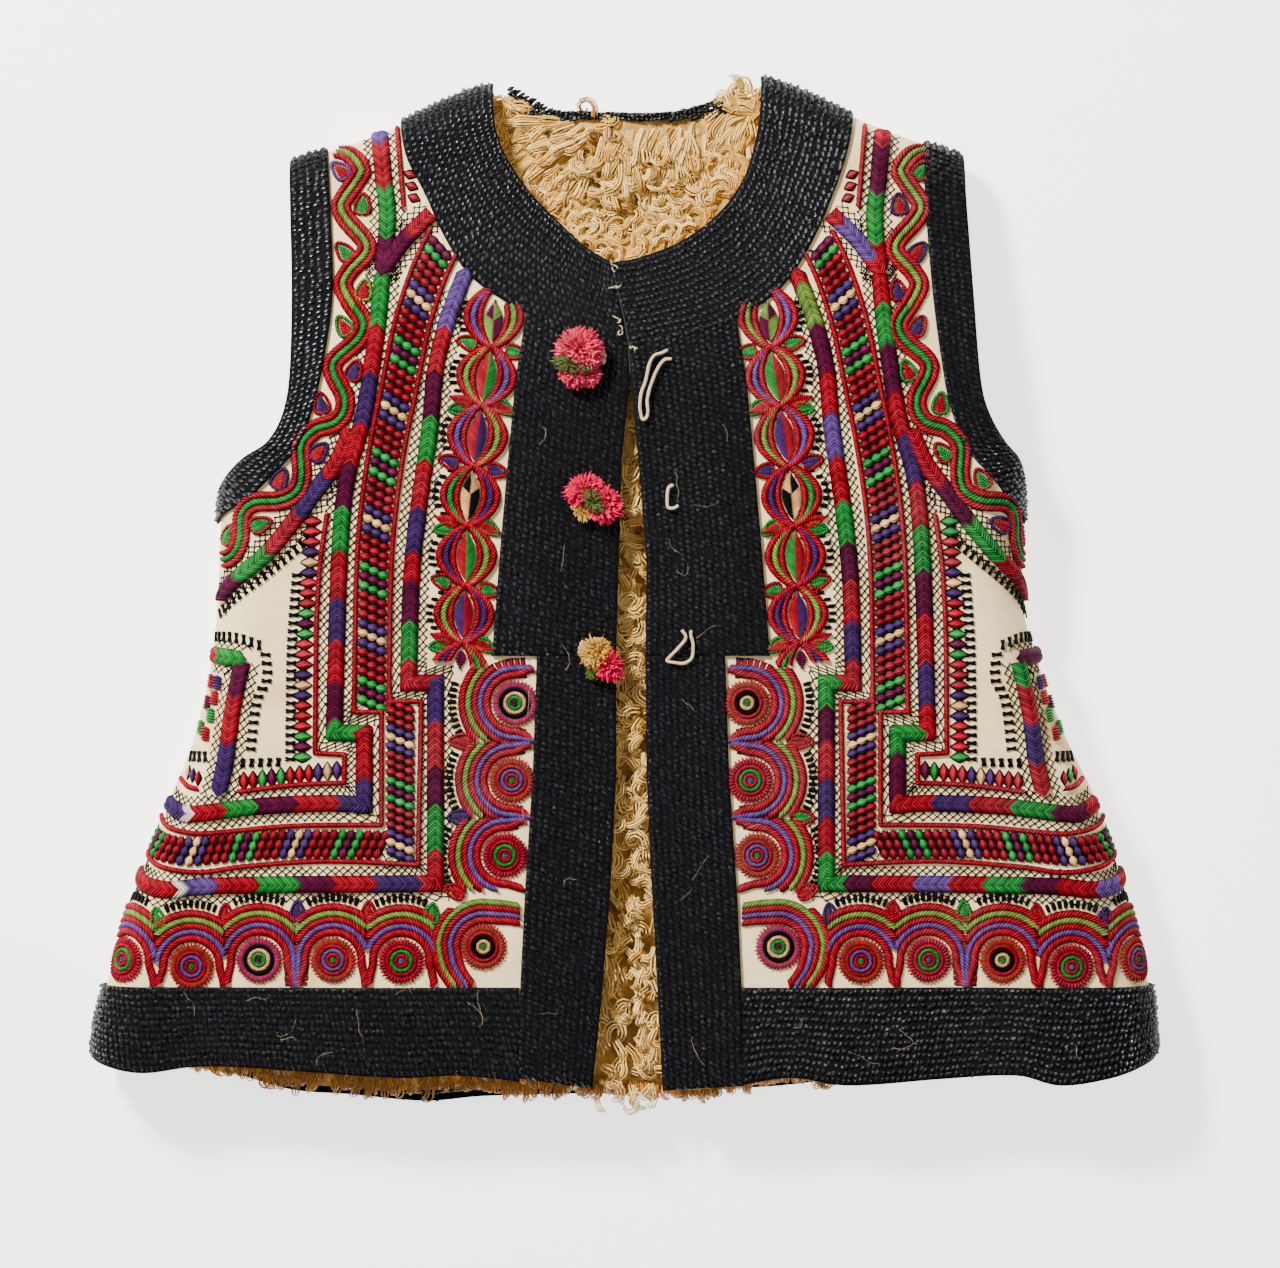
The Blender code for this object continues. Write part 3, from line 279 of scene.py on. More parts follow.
class Body:
    """The shape that the garment lies in, as the part has it, worked out for whole arrays of places."""

    def fold_start(self, side: Side, y: Array) -> Array:
        """Args: side; y. Returns: the reach where the side starts to roll over."""
        return SIDE_OUTLINE(side, y) - ROLL_RADIUS

    def flared_reach(self, side: Side, y: Array, start: Array, share: Array) -> Array:
        """Args: side; y; start: the inner edge's reach; share: of the way to the seam. Returns: the reach."""
        fold = self.fold_start(side, y)
        rolled = fold + (share - ROLL_SHARE) / (1 - ROLL_SHARE) * (ROLL_RADIUS * QUARTER_TURN - SEAM_GAP)
        return np.where(share <= ROLL_SHARE, lerp(start, fold, share / ROLL_SHARE), rolled)

    def side_seam(self, side: Side, y: Array) -> Array:
        """Args: side; y. Returns: the side seam's reach."""
        return self.fold_start(side, y) + ROLL_RADIUS * QUARTER_TURN - SEAM_GAP

    def shoulder_start(self, side: Side, reach: Array) -> Array:
        """Args: side; reach. Returns: the y where the shoulder starts to fold over."""
        return SHOULDER_LINE(side, np.abs(reach)) - SHOULDER_RADIUS

    def shoulder_seam(self, side: Side, reach: Array) -> Array:
        """Args: side; reach. Returns: the shoulder seam's y."""
        return self.shoulder_start(side, reach) + SHOULDER_RADIUS * QUARTER_TURN - SEAM_GAP

    def middle_height(self, y: Array) -> Array:
        """Args: y. Returns: the height of the plane where the two fleeces meet."""
        return lerp(BODY_MIDDLE, SHOULDER_MIDDLE, ease((np.asarray(y) - 90) / 145))

    def folds_height(self, x: Array, y: Array) -> Array:
        """Args: x, y of the plan. Returns: how far the hem's folds stand up there."""
        total = np.zeros(np.broadcast(x, y).shape)
        up = y - HEM_BAND_TOP
        for fold in FOLDS:
            across = (x - fold.x - fold.lean * np.maximum(up, 0)) / fold.width
            total = total + fold.height * np.exp(-across * across) * (1 - ease(up / fold.length))
        return total

    def front_rise(self, side: Side, reach: Array, y: Array) -> Array:
        """Args: side; reach; y. Returns: the front leather's height over the middle plane."""
        rise = self.middle_height(y) + self.folds_height(side.sign * reach, y)
        armhole = ease(1 - (ARMHOLE(side, y) - reach) / ARMHOLE_DROOP_REACH) * ease((y - UNDERARM_Y) / 60)
        opening = ease(1 - (reach - side.sign * CENTRE_EDGE(side, y)) / OPENING_DROOP_REACH)
        opening = opening * (1 - ease((y - CLOSED_FROM_Y) / (CLOSED_AT_Y - CLOSED_FROM_Y)))
        return rise - ARMHOLE_DROOP * armhole - OPENING_DROOP * opening

    def back_lift(self, side: Side, reach: Array, y: Array) -> Array:
        """Args: side; reach; y. Returns: how far the back leather is lifted by the trim under its edges."""
        hem = 1.0 - ease((y - HEM_BAND_TOP - HEM_LIFT_MARGIN) / LIFT_SLOPE)
        margin = lerp(UNDERARM_LIFT, ARMHOLE_LIFT, ease((y - 62) / 40))
        armhole = 1.0 - ease((ARMHOLE(side, y) - reach - margin) / LIFT_SLOPE)
        armhole = armhole * ease((y + 12) / 26)
        from_neck = np.hypot(reach / NECK_LIFT_WIDTH, (NECK_LIFT_Y - y) / NECK_LIFT_LENGTH)
        neck = 1.0 - ease((from_neck - 1.3) / 0.4)
        return BACK_TRIM_TOP * np.maximum(np.maximum(hem, armhole), neck)

    def leather_point(self, side: Side, reach: Array, y: Array, layer: Layer) -> Array:
        """Args: side; reach; y; layer. Returns: points of the leather's outer face."""
        start = self.fold_start(side, y)
        turn = clamp((reach - start) / ROLL_RADIUS, 0, QUARTER_TURN)
        out = np.minimum(reach, start) + ROLL_RADIUS * np.sin(turn)
        crest = self.shoulder_start(side, out)
        tip = clamp((y - crest) / SHOULDER_RADIUS, 0, QUARTER_TURN)
        plan_y = np.minimum(y, crest) + SHOULDER_RADIUS * np.sin(tip)
        middle = self.middle_height(plan_y)
        front = layer is Layer.FRONT
        rise = self.front_rise(side, reach, y) if front else self.back_lift(side, reach, y) - middle
        return stacked(side.sign * out, plan_y, middle + rise * np.cos(turn) * np.cos(tip))

    def raised(self, side: Side, reach: Array, y: Array, height: Array, layer: Layer = Layer.FRONT) -> Array:
        """Args: side; reach; y; height over the leather; layer. Returns: the points, out along the normal."""
        reach, y = np.broadcast_arrays(np.asarray(reach, float), np.asarray(y, float))
        step = 0.05
        point = self.leather_point(side, reach, y, layer)
        along = point - self.leather_point(side, reach - step, y, layer)
        up = point - self.leather_point(side, reach, y - step, layer)
        normal = unit(np.cross(along, up) * side.sign * (1 if layer is Layer.FRONT else -1))
        return point + normal * np.broadcast_to(height, reach.shape)[..., None]

    def on_front(self, side: Side, flat: Array) -> Array:
        """Args: side; flat: embroidery places (u, y, height). Returns: the points."""
        return self.raised(side, flat[..., 0] + side.sign * AXIS_X, flat[..., 1], flat[..., 2])

    def by_x(self, x: Array, y: Array, height: Array, layer: Layer) -> Array:
        """Args: x: reach with the side's sign; y; height; layer. Returns: points over both halves."""
        left = self.raised(LEFT, np.abs(x), y, height, layer)
        right = self.raised(RIGHT, np.abs(x), y, height, layer)
        return np.where((x < 0)[..., None], left, right)


VEST = Body()


# Meshes from arrays.


def linear(hex_colour: str) -> tuple[float, float, float, float]:
    """Args: hex_colour: sRGB, such as "A8122A". Returns: the linear colour with alpha."""
    channels = [int(hex_colour[i:i + 2], 16) / 255 for i in (0, 2, 4)]
    return (*(c / 12.92 if c <= 0.04045 else ((c + 0.055) / 1.055) ** 2.4 for c in channels), 1)


def grid_faces(rows: int, columns: int, flip: bool = False) -> Array:
    """Args: rows, columns of points; flip: turn the faces over. Returns: quads between neighbours."""
    k = np.arange(rows * columns).reshape(rows, columns)
    quads = np.stack([k[:-1, :-1], k[:-1, 1:], k[1:, 1:], k[1:, :-1]], axis=-1).reshape(-1, 4)
    return quads[:, ::-1] if flip else quads


def repeated(faces: Array, count: int) -> Array:
    """Args: faces of one strip, whose points are all in them; count of strips. Returns: the faces of them all."""
    return (faces + (np.arange(count) * (faces.max() + 1))[:, None, None]).reshape(-1, 4)


def shell_faces(rows: int, columns: int) -> Array:
    """Args: rows, columns of each of two grids of points. Returns: quads of the closed wall between them."""
    k = np.arange(rows * columns).reshape(rows, columns)
    far = k + rows * columns
    rim = np.concatenate([k[0, :-1], k[:-1, -1], k[-1, :0:-1], k[:0:-1, 0]])
    ring = np.roll(rim, -1)
    sides = np.stack([ring, rim, rim + rows * columns, ring + rows * columns], axis=-1)
    return np.concatenate([grid_faces(rows, columns), far.ravel()[grid_faces(rows, columns, True)], sides])


@dataclass
class Mesh:
    """Points in the part's millimetres, with what their material reads."""

    points: Array
    faces: Array
    dye: Array | None = None  # index of a Dye for each point
    yarn: Array | None = None  # for each point: along its thread in mm, across it from -1 to 1, and a random number, lowered on cords by painted shade at their edges


def joined(meshes: Sequence[Mesh]) -> Mesh:
    """Args: meshes of one kind. Returns: one mesh of them all."""
    starts = np.cumsum([0] + [len(mesh.points) for mesh in meshes[:-1]])
    return Mesh(
        np.concatenate([mesh.points for mesh in meshes]),
        np.concatenate([mesh.faces + start for mesh, start in zip(meshes, starts)]),
        np.concatenate([mesh.dye for mesh in meshes]) if meshes[0].dye is not None else None,
        np.concatenate([mesh.yarn for mesh in meshes]) if meshes[0].yarn is not None else None,
    )


def baking_cells(made: Mesh) -> Array:
    """Args: made: a mesh with yarn. Returns: for each corner its place in a sheet with one cell for each dye."""
    columns = 5
    column, row = made.dye % columns, made.dye // columns
    along = np.abs((made.yarn[:, 0] / 12) % 2 - 1)
    across = 0.5 + 0.5 * np.clip(made.yarn[:, 1], -1, 1)
    cell = np.stack([(column + 0.06 + 0.88 * along) / columns, (row + 0.06 + 0.88 * across) / columns], axis=-1)
    return cell[made.faces.ravel()]


def placed(name: str, data: bpy.types.ID) -> bpy.types.Object:
    """Args: name; data. Returns: a new object of it in the scene."""
    made = bpy.data.objects.new(name, data)
    bpy.context.scene.collection.objects.link(made)
    return made


def add_mesh(name: str, made: Mesh, material: Material,
             nodes: Sequence[str] = ()) -> bpy.types.Object:
    """Puts a mesh in the scene as a piece of the garment.

    Args:
        name: the piece's name.
        made: its points and faces.
        material: its material.
        nodes: the frame's nodes whose place it takes.
    Returns:
        The object.
    """
    data = bpy.data.meshes.new(name)
    points = (made.points - np.array(BOX_MIDDLE)) * MM
    data.vertices.add(len(points))
    data.vertices.foreach_set("co", points.astype(np.float32).ravel())
    data.loops.add(made.faces.size)
    data.loops.foreach_set("vertex_index", made.faces.astype(np.int32).ravel())
    data.polygons.add(len(made.faces))
    data.polygons.foreach_set("loop_start", np.arange(0, made.faces.size, made.faces.shape[1], dtype=np.int32))
    data.polygons.foreach_set("use_smooth", np.ones(len(made.faces), bool))
    if made.dye is not None:
        colours = np.array([linear(dye.value) for dye in Dye], np.float32)[made.dye]
        data.color_attributes.new("dye", "FLOAT_COLOR", "POINT").data.foreach_set("color", colours.ravel())
    if made.yarn is not None:
        data.attributes.new("yarn", "FLOAT_VECTOR", "POINT").data.foreach_set(
            "vector", made.yarn.astype(np.float32).ravel()
        )
        data.uv_layers.new(name="OFBake").data.foreach_set("uv", baking_cells(made).astype(np.float32).ravel())
    data.update(calc_edges=True)
    data.validate()
    data.materials.append(material)
    piece = placed(name, data)
    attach(piece, BODY)
    if nodes:
        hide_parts(*nodes)
    log.info("%s: %d faces", name, len(made.faces))
    return piece


class Dye(Enum):
    """Colours of the wools and threads."""

    RED = "A2001C"
    CRIMSON = "7E0014"
    GREEN = "1C8430"
    LIGHT_GREEN = "74983A"
    PURPLE = "3E2058"
    LAVENDER = "644488"
    MAGENTA = "560030"
    PEACH = "E6AC6C"
    GOLD = "5C4C10"
    BLACK = "020203"
    WHITE = "EADFCB"
    NAVY = "020205"
    SLATE = "12141C"
    PINK = "DC0046"
    OLIVE = "56622A"
    CREAM = "DFC294"
    WOOL_PALE = "F2C974"
    WOOL_GOLD = "D8A448"
    WOOL_AMBER = "A87634"
    WOOL_BEIGE = "D8AE6C"
    WOOL_BROWN = "A07030"
    WOOL_ORANGE = "CC8430"


DYE_INDEX = {dye: i for i, dye in enumerate(Dye)}


def curve_through(points: Sequence[tuple], steps: int = 8) -> Array:
    """Args: points of a line; steps between each two. Returns: a smooth curve through them."""
    known = np.array(points, float)
    if len(known) == 2:
        return lerp(known[0], known[1], np.linspace(0, 1, steps + 1)[:, None])
    padded = np.concatenate([known[:1], known, known[-1:]])
    t = np.linspace(0, 1, steps, endpoint=False)[:, None]
    parts = []
    for a, b, c, d in zip(padded, padded[1:], padded[2:], padded[3:]):
        square, cube = (2 * a - 5 * b + 4 * c - d) * t ** 2, (3 * b - a - 3 * c + d) * t ** 3
        parts.append(0.5 * (2 * b + (c - a) * t + square + cube))
    return np.concatenate([*parts, known[-1:]])


def measured(lines: Array) -> Array:
    """Args: lines: points of one line or of several. Returns: how far along its line each one is."""
    steps = np.linalg.norm(np.diff(lines, axis=-2), axis=-1)
    return np.concatenate([np.zeros((*steps.shape[:-1], 1)), np.cumsum(steps, axis=-1)], axis=-1)


def spread(points: Array, count: int) -> Array:
    """Args: points of a line; count. Returns: count + 1 points evenly along it."""
    run = measured(points)
    return on_line(points, run, np.linspace(0, run[-1], count + 1))


def on_line(points: Array, run: Array, at: Array) -> Array:
    """Args: points of a line; how far along each is; wanted distances. Returns: the points there."""
    return stacked(*(np.interp(at, run, points[:, i]) for i in range(points.shape[1])))


class Route:
    """A line of embroidery in flat places (u, y), along which stitches are laid."""

    def __init__(self, legs: Sequence[Sequence[tuple]]) -> None:
        """Args: legs: smooth stretches, each but the first from the corner where the one before ends."""
        parts = [curve_through(leg) for leg in (legs[0], *([old[-1], *leg] for old, leg in zip(legs, legs[1:])))]
        line = np.concatenate([parts[0], *(part[1:] for part in parts[1:])])
        run = measured(line)
        keep = np.concatenate([[True], np.diff(run) > 1e-6])
        line, run = line[keep], run[keep]
        self.length = float(run[-1])
        self.at = np.linspace(0, self.length, max(int(self.length / 0.5), 4))
        self.line = on_line(line, run, self.at)

    def normals(self, window: float) -> Array:
        """Args: window: how far round a corner is felt, in mm. Returns: sideways vectors that hold the width."""
        step = self.at[1] - self.at[0]
        ahead = unit(np.diff(self.line, axis=0))
        ahead = np.concatenate([ahead, ahead[-1:]])
        reach = max(int(window / step), 1)
        padded = np.concatenate([np.repeat(ahead[:1], reach, 0), ahead, np.repeat(ahead[-1:], reach, 0)])
        total = np.cumsum(np.concatenate([np.zeros((1, 2)), padded]), axis=0)
        mean = unit(total[2 * reach + 1:] - total[:-2 * reach - 1])
        cosine = np.maximum((mean * ahead).sum(axis=1, keepdims=True), 0.6)
        return stacked(-mean[:, 1], mean[:, 0]) / cosine

    def place(self, along: Array, across: Array, height: Array, window: float) -> Array:
        """Args: along, across in mm; height; window. Returns: flat places (u, y, height)."""
        inside = clamp(along, 0, self.length)
        known = np.concatenate([self.line, self.normals(window)], axis=1)
        u, y, nu, ny = (np.interp(inside, self.at, values) for values in known.T)
        past = along - inside
        return stacked(u + nu * across + ny * past, y + ny * across - nu * past, height)


def run_dyes(runs: Sequence[tuple], along: Array) -> Array:
    """Args: runs: (dye, length) in order; along in mm. Returns: the index of the dye at each place."""
    ends = np.cumsum([length for _, length in runs])
    which = np.minimum(np.searchsorted(ends, along), len(runs) - 1)
    return np.array([DYE_INDEX[dye] for dye, _ in runs])[which]


class Weave(Enum):
    """How the stitches of a cord lie."""

    CHEVRON = "chevron"
    TWIST = "twist"
    SATIN = "satin"


@dataclass
class Needlework:
    """Stitches of one kind on one front, gathered and made into one mesh."""

    side: Side
    parts: list = field(default_factory=list)
    random: np.random.Generator = field(default_factory=lambda: np.random.default_rng(SEED))

    def cord(self, route: Route, half: float, crown: float, runs: Sequence[tuple], weave: Weave, pitch: float,
             shift: float = 0.0, columns: int = 7, base: float = STITCH_BASE, lean: float = 0.62) -> None:
        """Lays a raised cord whose surface is one ridge for each stitch.

        Args:
            route: where it runs.
            half: half its width in mm.
            crown: its height over its base.
            runs: its colours along it.
            weave: how its stitches lie.
            pitch: from stitch to stitch.
            shift: how far to the side of the route it lies.
            columns: points across it.
            base: height of its underside over the leather.
            lean: how far a stitch runs along the cord for each millimetre across.
        """
        count = max(int(route.length / pitch), 2)
        pitch = route.length / count
        across = np.linspace(-1, 1, columns)
        phases = np.array([0, 0.33, 0.67])
        ridge = np.array([0, 1, 1])
        number = np.repeat(np.arange(count), 3)
        along = (number + np.tile(phases, count)) * pitch
        height = np.tile(ridge, count)
        slant = {Weave.CHEVRON: -np.abs(across), Weave.TWIST: across, Weave.SATIN: 0 * across}[weave] * half * lean
        jitter = self.random.normal(0, 0.05 * pitch, count)[number]
        s = along[:, None] + slant[None, :] + jitter[:, None]
        s = clamp(s, 0, route.length)
        round_ = np.sqrt(np.maximum(1 - across ** 2, 0))
        groove = 0.65 * min(pitch, 2)
        tall = crown * round_[None, :] - groove * (1 - height[:, None]) * (0.35 + 0.65 * round_[None, :])
        # Painted shade: darker along the cord's edges and, on chevrons, down the middle where the stitches meet;
        # chevrons also get a random lighter or darker tone for each stitch.
        shade = np.broadcast_to(1.3 * across ** 4, s.shape)
        if weave is Weave.CHEVRON:
            shade = shade + 0.6 * (across == 0) + 0.7 * (0.5 - (number * GOLDEN) % 1)[:, None]
            tall = tall - 0.35 * np.exp(-(across / 0.16) ** 2)[None, :]
        uneven = 1.0 + self.random.normal(0, 0.025, count)[number][:, None]
        window = 1.8 * (half + abs(shift))
        flat = route.place(s, shift + half * across[None, :] * uneven, base + np.maximum(tall, -0.5), window)
        dyes = run_dyes(runs, (number + 0.5) * pitch)
        yarn = stacked(across * half * 1.2, 2 * np.tile(phases, count)[:, None] - 1,
                       ((number * GOLDEN) % 1)[:, None] - shade)
        self.keep(flat, grid_faces(*s.shape), np.repeat(dyes, columns), yarn)

    def threads(self, paths: Array, width: Array, crown: Array, dyes: Array, columns: int = 5,
                taper: float = 0.45, bluntness: float = 3.0) -> None:
        """Lays separate raised threads.

        Args:
            paths: (threads, stations, 3) flat places of the middle of each one's underside.
            width: of each thread in mm.
            crown: each one's height.
            dyes: index of each one's dye.
            columns: points across a thread.
            taper: share of the width that is left at the ends.
            bluntness: 1 for a lozenge, 3 for a stitch that keeps its width.
        """
        count, stations = paths.shape[:2]
        width, crown = np.broadcast_to(width, count), np.broadcast_to(crown, count)
        dyes = np.broadcast_to(dyes, count)
        t = np.linspace(0, 1, stations)
        full = lerp(taper, 1, np.maximum(1 - np.abs(2 * t - 1) ** bluntness, 0))
        ahead = unit(np.gradient(paths[..., :2], axis=1))
        aside = stacked(-ahead[..., 1], ahead[..., 0])
        across = np.linspace(-1, 1, columns)
        offset = aside[:, :, None, :] * (0.5 * width[:, None, None] * full[None, :, None] * across)[..., None]
        rise = crown[:, None, None] * full[None, :, None] * np.sqrt(np.maximum(1 - across ** 2, 0))
        flat = np.repeat(paths[:, :, None, :], columns, axis=2)
        flat[..., :2] += offset
        flat[..., 2] += rise
        yarn = stacked(measured(paths)[:, :, None], across, self.random.random(count)[:, None, None])
        self.keep(flat, repeated(grid_faces(stations, columns), count), np.repeat(dyes, stations * columns), yarn)

    def keep(self, flat: Array, faces: Array, dye: Array, yarn: Array) -> None:
        """Args: flat places; faces; dye and yarn of each point. Adds them to the batch."""
        faces = faces if self.side is LEFT else faces[:, ::-1]
        self.parts.append(Mesh(flat.reshape(-1, 3), faces, np.asarray(dye).ravel(), yarn.reshape(-1, 3)))

    def mesh(self) -> Mesh:
        """Returns: the batch as one mesh, on its front."""
        made = joined(self.parts)
        made.points = VEST.on_front(self.side, made.points)
        return made


# Finishes.


def plug(tree: NodeTree, node: Node, inputs: dict) -> None:
    """Args: tree; node; inputs: by socket, a value, or a node or an output socket to link from. Sets them."""
    for key, value in inputs.items():
        if isinstance(value, Node):
            value = value.outputs[0]
        if isinstance(value, bpy.types.NodeSocket):
            tree.links.new(value, node.inputs[key])
        else:
            node.inputs[key].default_value = value


def add_node(tree: NodeTree, kind: str, inputs: dict, **settings: object) -> Node:
    """Adds a shader node.

    Args:
        tree: the material's node tree.
        kind: the node's type, without its ShaderNode prefix.
        inputs: as plug() takes them.
        settings: properties of the node.
    Returns:
        The node.
    """
    made = tree.nodes.new("ShaderNode" + kind)
    for key, value in settings.items():
        setattr(made, key, value)
    plug(tree, made, inputs)
    return made


def new_material(name: str) -> tuple[Material, NodeTree, Node]:
    """Args: name. Returns: a material, its tree and its Principled shader."""
    material = bpy.data.materials.new(name)
    material.use_nodes = True
    return material, material.node_tree, material.node_tree.nodes["Principled BSDF"]


@dataclass(frozen=True)
class Yarn:
    """Dyed wool yarn: matt, with fine fibres that catch the light, each stitch a little lighter or darker, and painted
    shade where two threads meet.
    """

    name: str
    roughness: float = 0.6
    shine: float = 0.1  # how much a fibre mirrors
    fibres: float = 2.6  # ridges across half a thread
    relief: float = 0.00012
    fading: float = 0.2
    groove: float = 0.86  # how much painted shade darkens it between two threads, in colour and in reflection

    def material(self) -> Material:
        """Returns: the material, which reads the mesh's dye and yarn attributes."""
        material, tree, shader = new_material(self.name)
        dye, yarn = (add_node(tree, "Attribute", {}, attribute_name=name) for name in ("dye", "yarn"))
        along, across, seed = add_node(tree, "SeparateXYZ", {0: yarn.outputs["Vector"]}).outputs
        place = add_node(tree, "TexCoord", {}).outputs["Object"]
        # Rubbed patches of 11 mm, each stitch in its own shade with the painted shade of the cords' edges lowering it,
        # and fibres that wind round the thread every 7 mm.
        wear = add_node(tree, "TexNoise", {"Vector": place, "Scale": 90, "Detail": 4, "Roughness": 0.6})
        lift = add_node(tree, "MapRange", {0: wear, 1: 0.3, 2: 0.7, 3: 0.78, 4: 1.18})
        one = add_node(tree, "MapRange", {0: seed, 1: -1.2, 2: 1, 3: 0.12, 4: 1.26})
        twist = add_node(tree, "Math", {0: along, 1: 0.9, 2: 0}, operation="MULTIPLY_ADD")
        angle = add_node(tree, "Math", {0: across, 1: self.fibres * math.pi, 2: twist}, operation="MULTIPLY_ADD")
        wave = add_node(tree, "Math", {0: angle}, operation="SINE")
        strand = add_node(tree, "MapRange", {0: wave, 1: -1, 2: 1, 3: 0.8, 4: 1.08})
        # Painted shade: each thread gets darker, and mirrors less, towards its edges, where it meets the next.
        edge = add_node(tree, "Math", {0: across}, operation="ABSOLUTE")
        edge = add_node(tree, "Math", {0: edge, 1: 1.3}, operation="POWER")
        gap = add_node(tree, "Math", {0: edge, 1: -self.groove, 2: 1}, operation="MULTIPLY_ADD")
        value = lift
        for factor in (one, gap, strand):
            value = add_node(tree, "Math", {0: value, 1: factor}, operation="MULTIPLY")
        pale = add_node(tree, "TexNoise", {"Vector": place, "Scale": 14, "Detail": 2})  # faded areas of 70 mm
        fade = add_node(tree, "MapRange", {0: pale, 1: 0.45, 2: 0.75, 3: 1, 4: 1 - 0.4 * self.fading})
        plug(tree, shader, {
            "Base Color": add_node(tree, "HueSaturation", {"Color": dye, "Value": value, "Saturation": fade}),
            "Normal": add_node(tree, "Bump", {"Height": wave, "Strength": 0.7, "Distance": self.relief}),
            "Specular IOR Level": add_node(tree, "Math", {0: gap, 1: self.shine}, operation="MULTIPLY"),
            "Roughness": self.roughness,
        })
        return material


@dataclass(frozen=True)
class Suede:
    """Sheepskin's flesh side: pale, matt and napped, browned in blotches by handling."""

    name: str
    pale: str = "EFD5A0"
    worn: str = "C49A60"
    stain: float = 0.8

    def material(self) -> Material:
        """Returns: the material."""
        material, tree, shader = new_material(self.name)
        place = add_node(tree, "TexCoord", {}).outputs["Object"]
        # Blotches of 45 mm, creases 6 mm apart, and a nap of 1 mm, coarser than the real one so that it shows.
        blotch = add_node(tree, "TexNoise", {"Vector": place, "Scale": 22, "Detail": 8, "Roughness": 0.65})
        nap = add_node(tree, "TexNoise", {"Vector": place, "Scale": 900, "Detail": 3, "Roughness": 0.7})
        crease = add_node(tree, "TexVoronoi", {"Vector": place, "Scale": 160}, feature="DISTANCE_TO_EDGE")
        share = add_node(tree, "MapRange", {0: blotch, 1: 0.48, 2: 0.72, 3: 0, 4: self.stain})
        tone = add_node(tree, "Mix", {0: share, 6: linear(self.pale), 7: linear(self.worn)}, data_type="RGBA")
        light = add_node(tree, "MapRange", {0: nap, 1: 0.3, 2: 0.7, 3: 0.88, 4: 1.08})
        height = add_node(tree, "Math", {0: crease, 1: 0.5, 2: nap.outputs[0]}, operation="MULTIPLY_ADD")
        plug(tree, shader, {
            "Base Color": add_node(tree, "HueSaturation", {"Color": tone.outputs[2], "Value": light}),
            "Normal": add_node(tree, "Bump", {"Height": height, "Strength": 0.5, "Distance": 0.0003}),
            "Roughness": 0.9,
            "Specular IOR Level": 0.15,
        })
        return material


@dataclass(frozen=True)
class Wool:
    """Raw sheep's wool: golden cream locks, amber in the depths, which is partly the wool's own tone and partly painted
    shade, each lock a bundle of fine fibres.
    """

    name: str
    # darker tone of the fleece under the locks: its own amber, deepened as painted shade
    amber_and_shade: str = "A87B3C"
    locks: bool = True

    def material(self) -> Material:
        """Returns: the material. With locks it reads the mesh's dye and yarn attributes."""
        material, tree, shader = new_material(self.name)
        place = add_node(tree, "TexCoord", {}).outputs["Object"]
        if self.locks:
            dye, yarn = (add_node(tree, "Attribute", {}, attribute_name=name) for name in ("dye", "yarn"))
            tone = dye.outputs["Color"]
            # Fibres of 8 mm, five to a strand, which is fewer than real ones so that they show.
            scaled = add_node(tree, "VectorMath", {0: yarn.outputs["Vector"], 1: (0.12, 2.5, 90)},
                              operation="MULTIPLY")
            hair = add_node(tree, "TexNoise", {"Vector": scaled, "Scale": 1, "Detail": 3})
            distance = 0.0003
        else:
            # Tufts of 17 mm with a pile of 2.4 mm, coarser than real wool so that it shows. The darker tone mixed in is
            # partly painted shade, for the depths under the locks.
            cloud = add_node(tree, "TexNoise", {"Vector": place, "Scale": 60, "Detail": 5})
            share = add_node(tree, "MapRange", {0: cloud, 1: 0.35, 2: 0.68, 3: 0, 4: 1})
            tone = add_node(tree, "Mix", {0: share, 6: linear(Dye.WOOL_GOLD.value), 7: linear(self.amber_and_shade)},
                            data_type="RGBA").outputs[2]
            hair = add_node(tree, "TexNoise", {"Vector": place, "Scale": 420, "Detail": 6, "Roughness": 0.75})
            distance = 0.0025
        light = add_node(tree, "MapRange", {0: hair, 1: 0.3, 2: 0.7, 3: 0.62, 4: 1.22})
        plug(tree, shader, {
            "Base Color": add_node(tree, "HueSaturation", {"Color": tone, "Value": light}),
            "Normal": add_node(tree, "Bump", {"Height": hair, "Strength": 0.6, "Distance": distance}),
            "Roughness": 0.5,
            "Specular IOR Level": 0.3,
            "Subsurface Weight": 0.12,
            "Subsurface Radius": (0.005, 0.0035, 0.002),
        })
        return material


@dataclass(frozen=True)
class Finishes:
    """Every material of the garment."""

    leather: Material
    back_leather: Material
    wool: Material
    fleece: Material
    embroidery: Material
    trim: Material
    trim_bed: Material
    pile: Material
    string: Material

    @classmethod
    def made(cls) -> "Finishes":
        """Returns: the finishes, each with its material."""
        return cls(
            leather=Suede("sheepskin_suede").material(),
            back_leather=Suede("sheepskin_suede_back", "DCCBA8", "B79A70", 0.6).material(),
            wool=Wool("sheep_wool_locks").material(),
            # the fleece that shows between the locks, darkened partly as painted shade in its depths
            fleece=Wool("sheep_wool_fleece", "7E5A26", locks=False).material(),
            embroidery=Yarn("worsted_yarn").material(),
            # Hard-spun loops glint where they turn over, painted shade darkens each loop fully at its edges, and the
            # ground between them is near black.
            trim=Yarn("looped_wool_yarn", roughness=0.3, shine=0.6, fibres=3, relief=0.0003, groove=1).material(),
            trim_bed=Suede("wool_trim_ground", "030305", "08080C", 0.6).material(),
            # Cut ends scatter the light, so the pile is matt, and linen is smooth with a faint twist.
            pile=Yarn("cut_wool_pile", roughness=0.85, fibres=1.5, groove=0).material(),
            string=Yarn("linen_string", roughness=0.7, fibres=2, relief=0.0002, groove=0.3).material(),
        )


# The skins.


@dataclass(frozen=True)
class Cut:
    """How finely a skin is laid out: points over each of its zones."""

    flat: int = 30
    roll: int = 11
    hem: int = 3
    lower: int = 36
    upper: int = 32
    fold: int = 9


def settled(reach_at: Callable, y_at: Callable) -> tuple[Array, Array]:
    """Args: reach for a y, and y for a reach. Returns: the (reach, y) where they agree."""
    y = y_at(0)
    for _ in range(4):
        reach = reach_at(y)
        y = y_at(reach)
    return reach, y


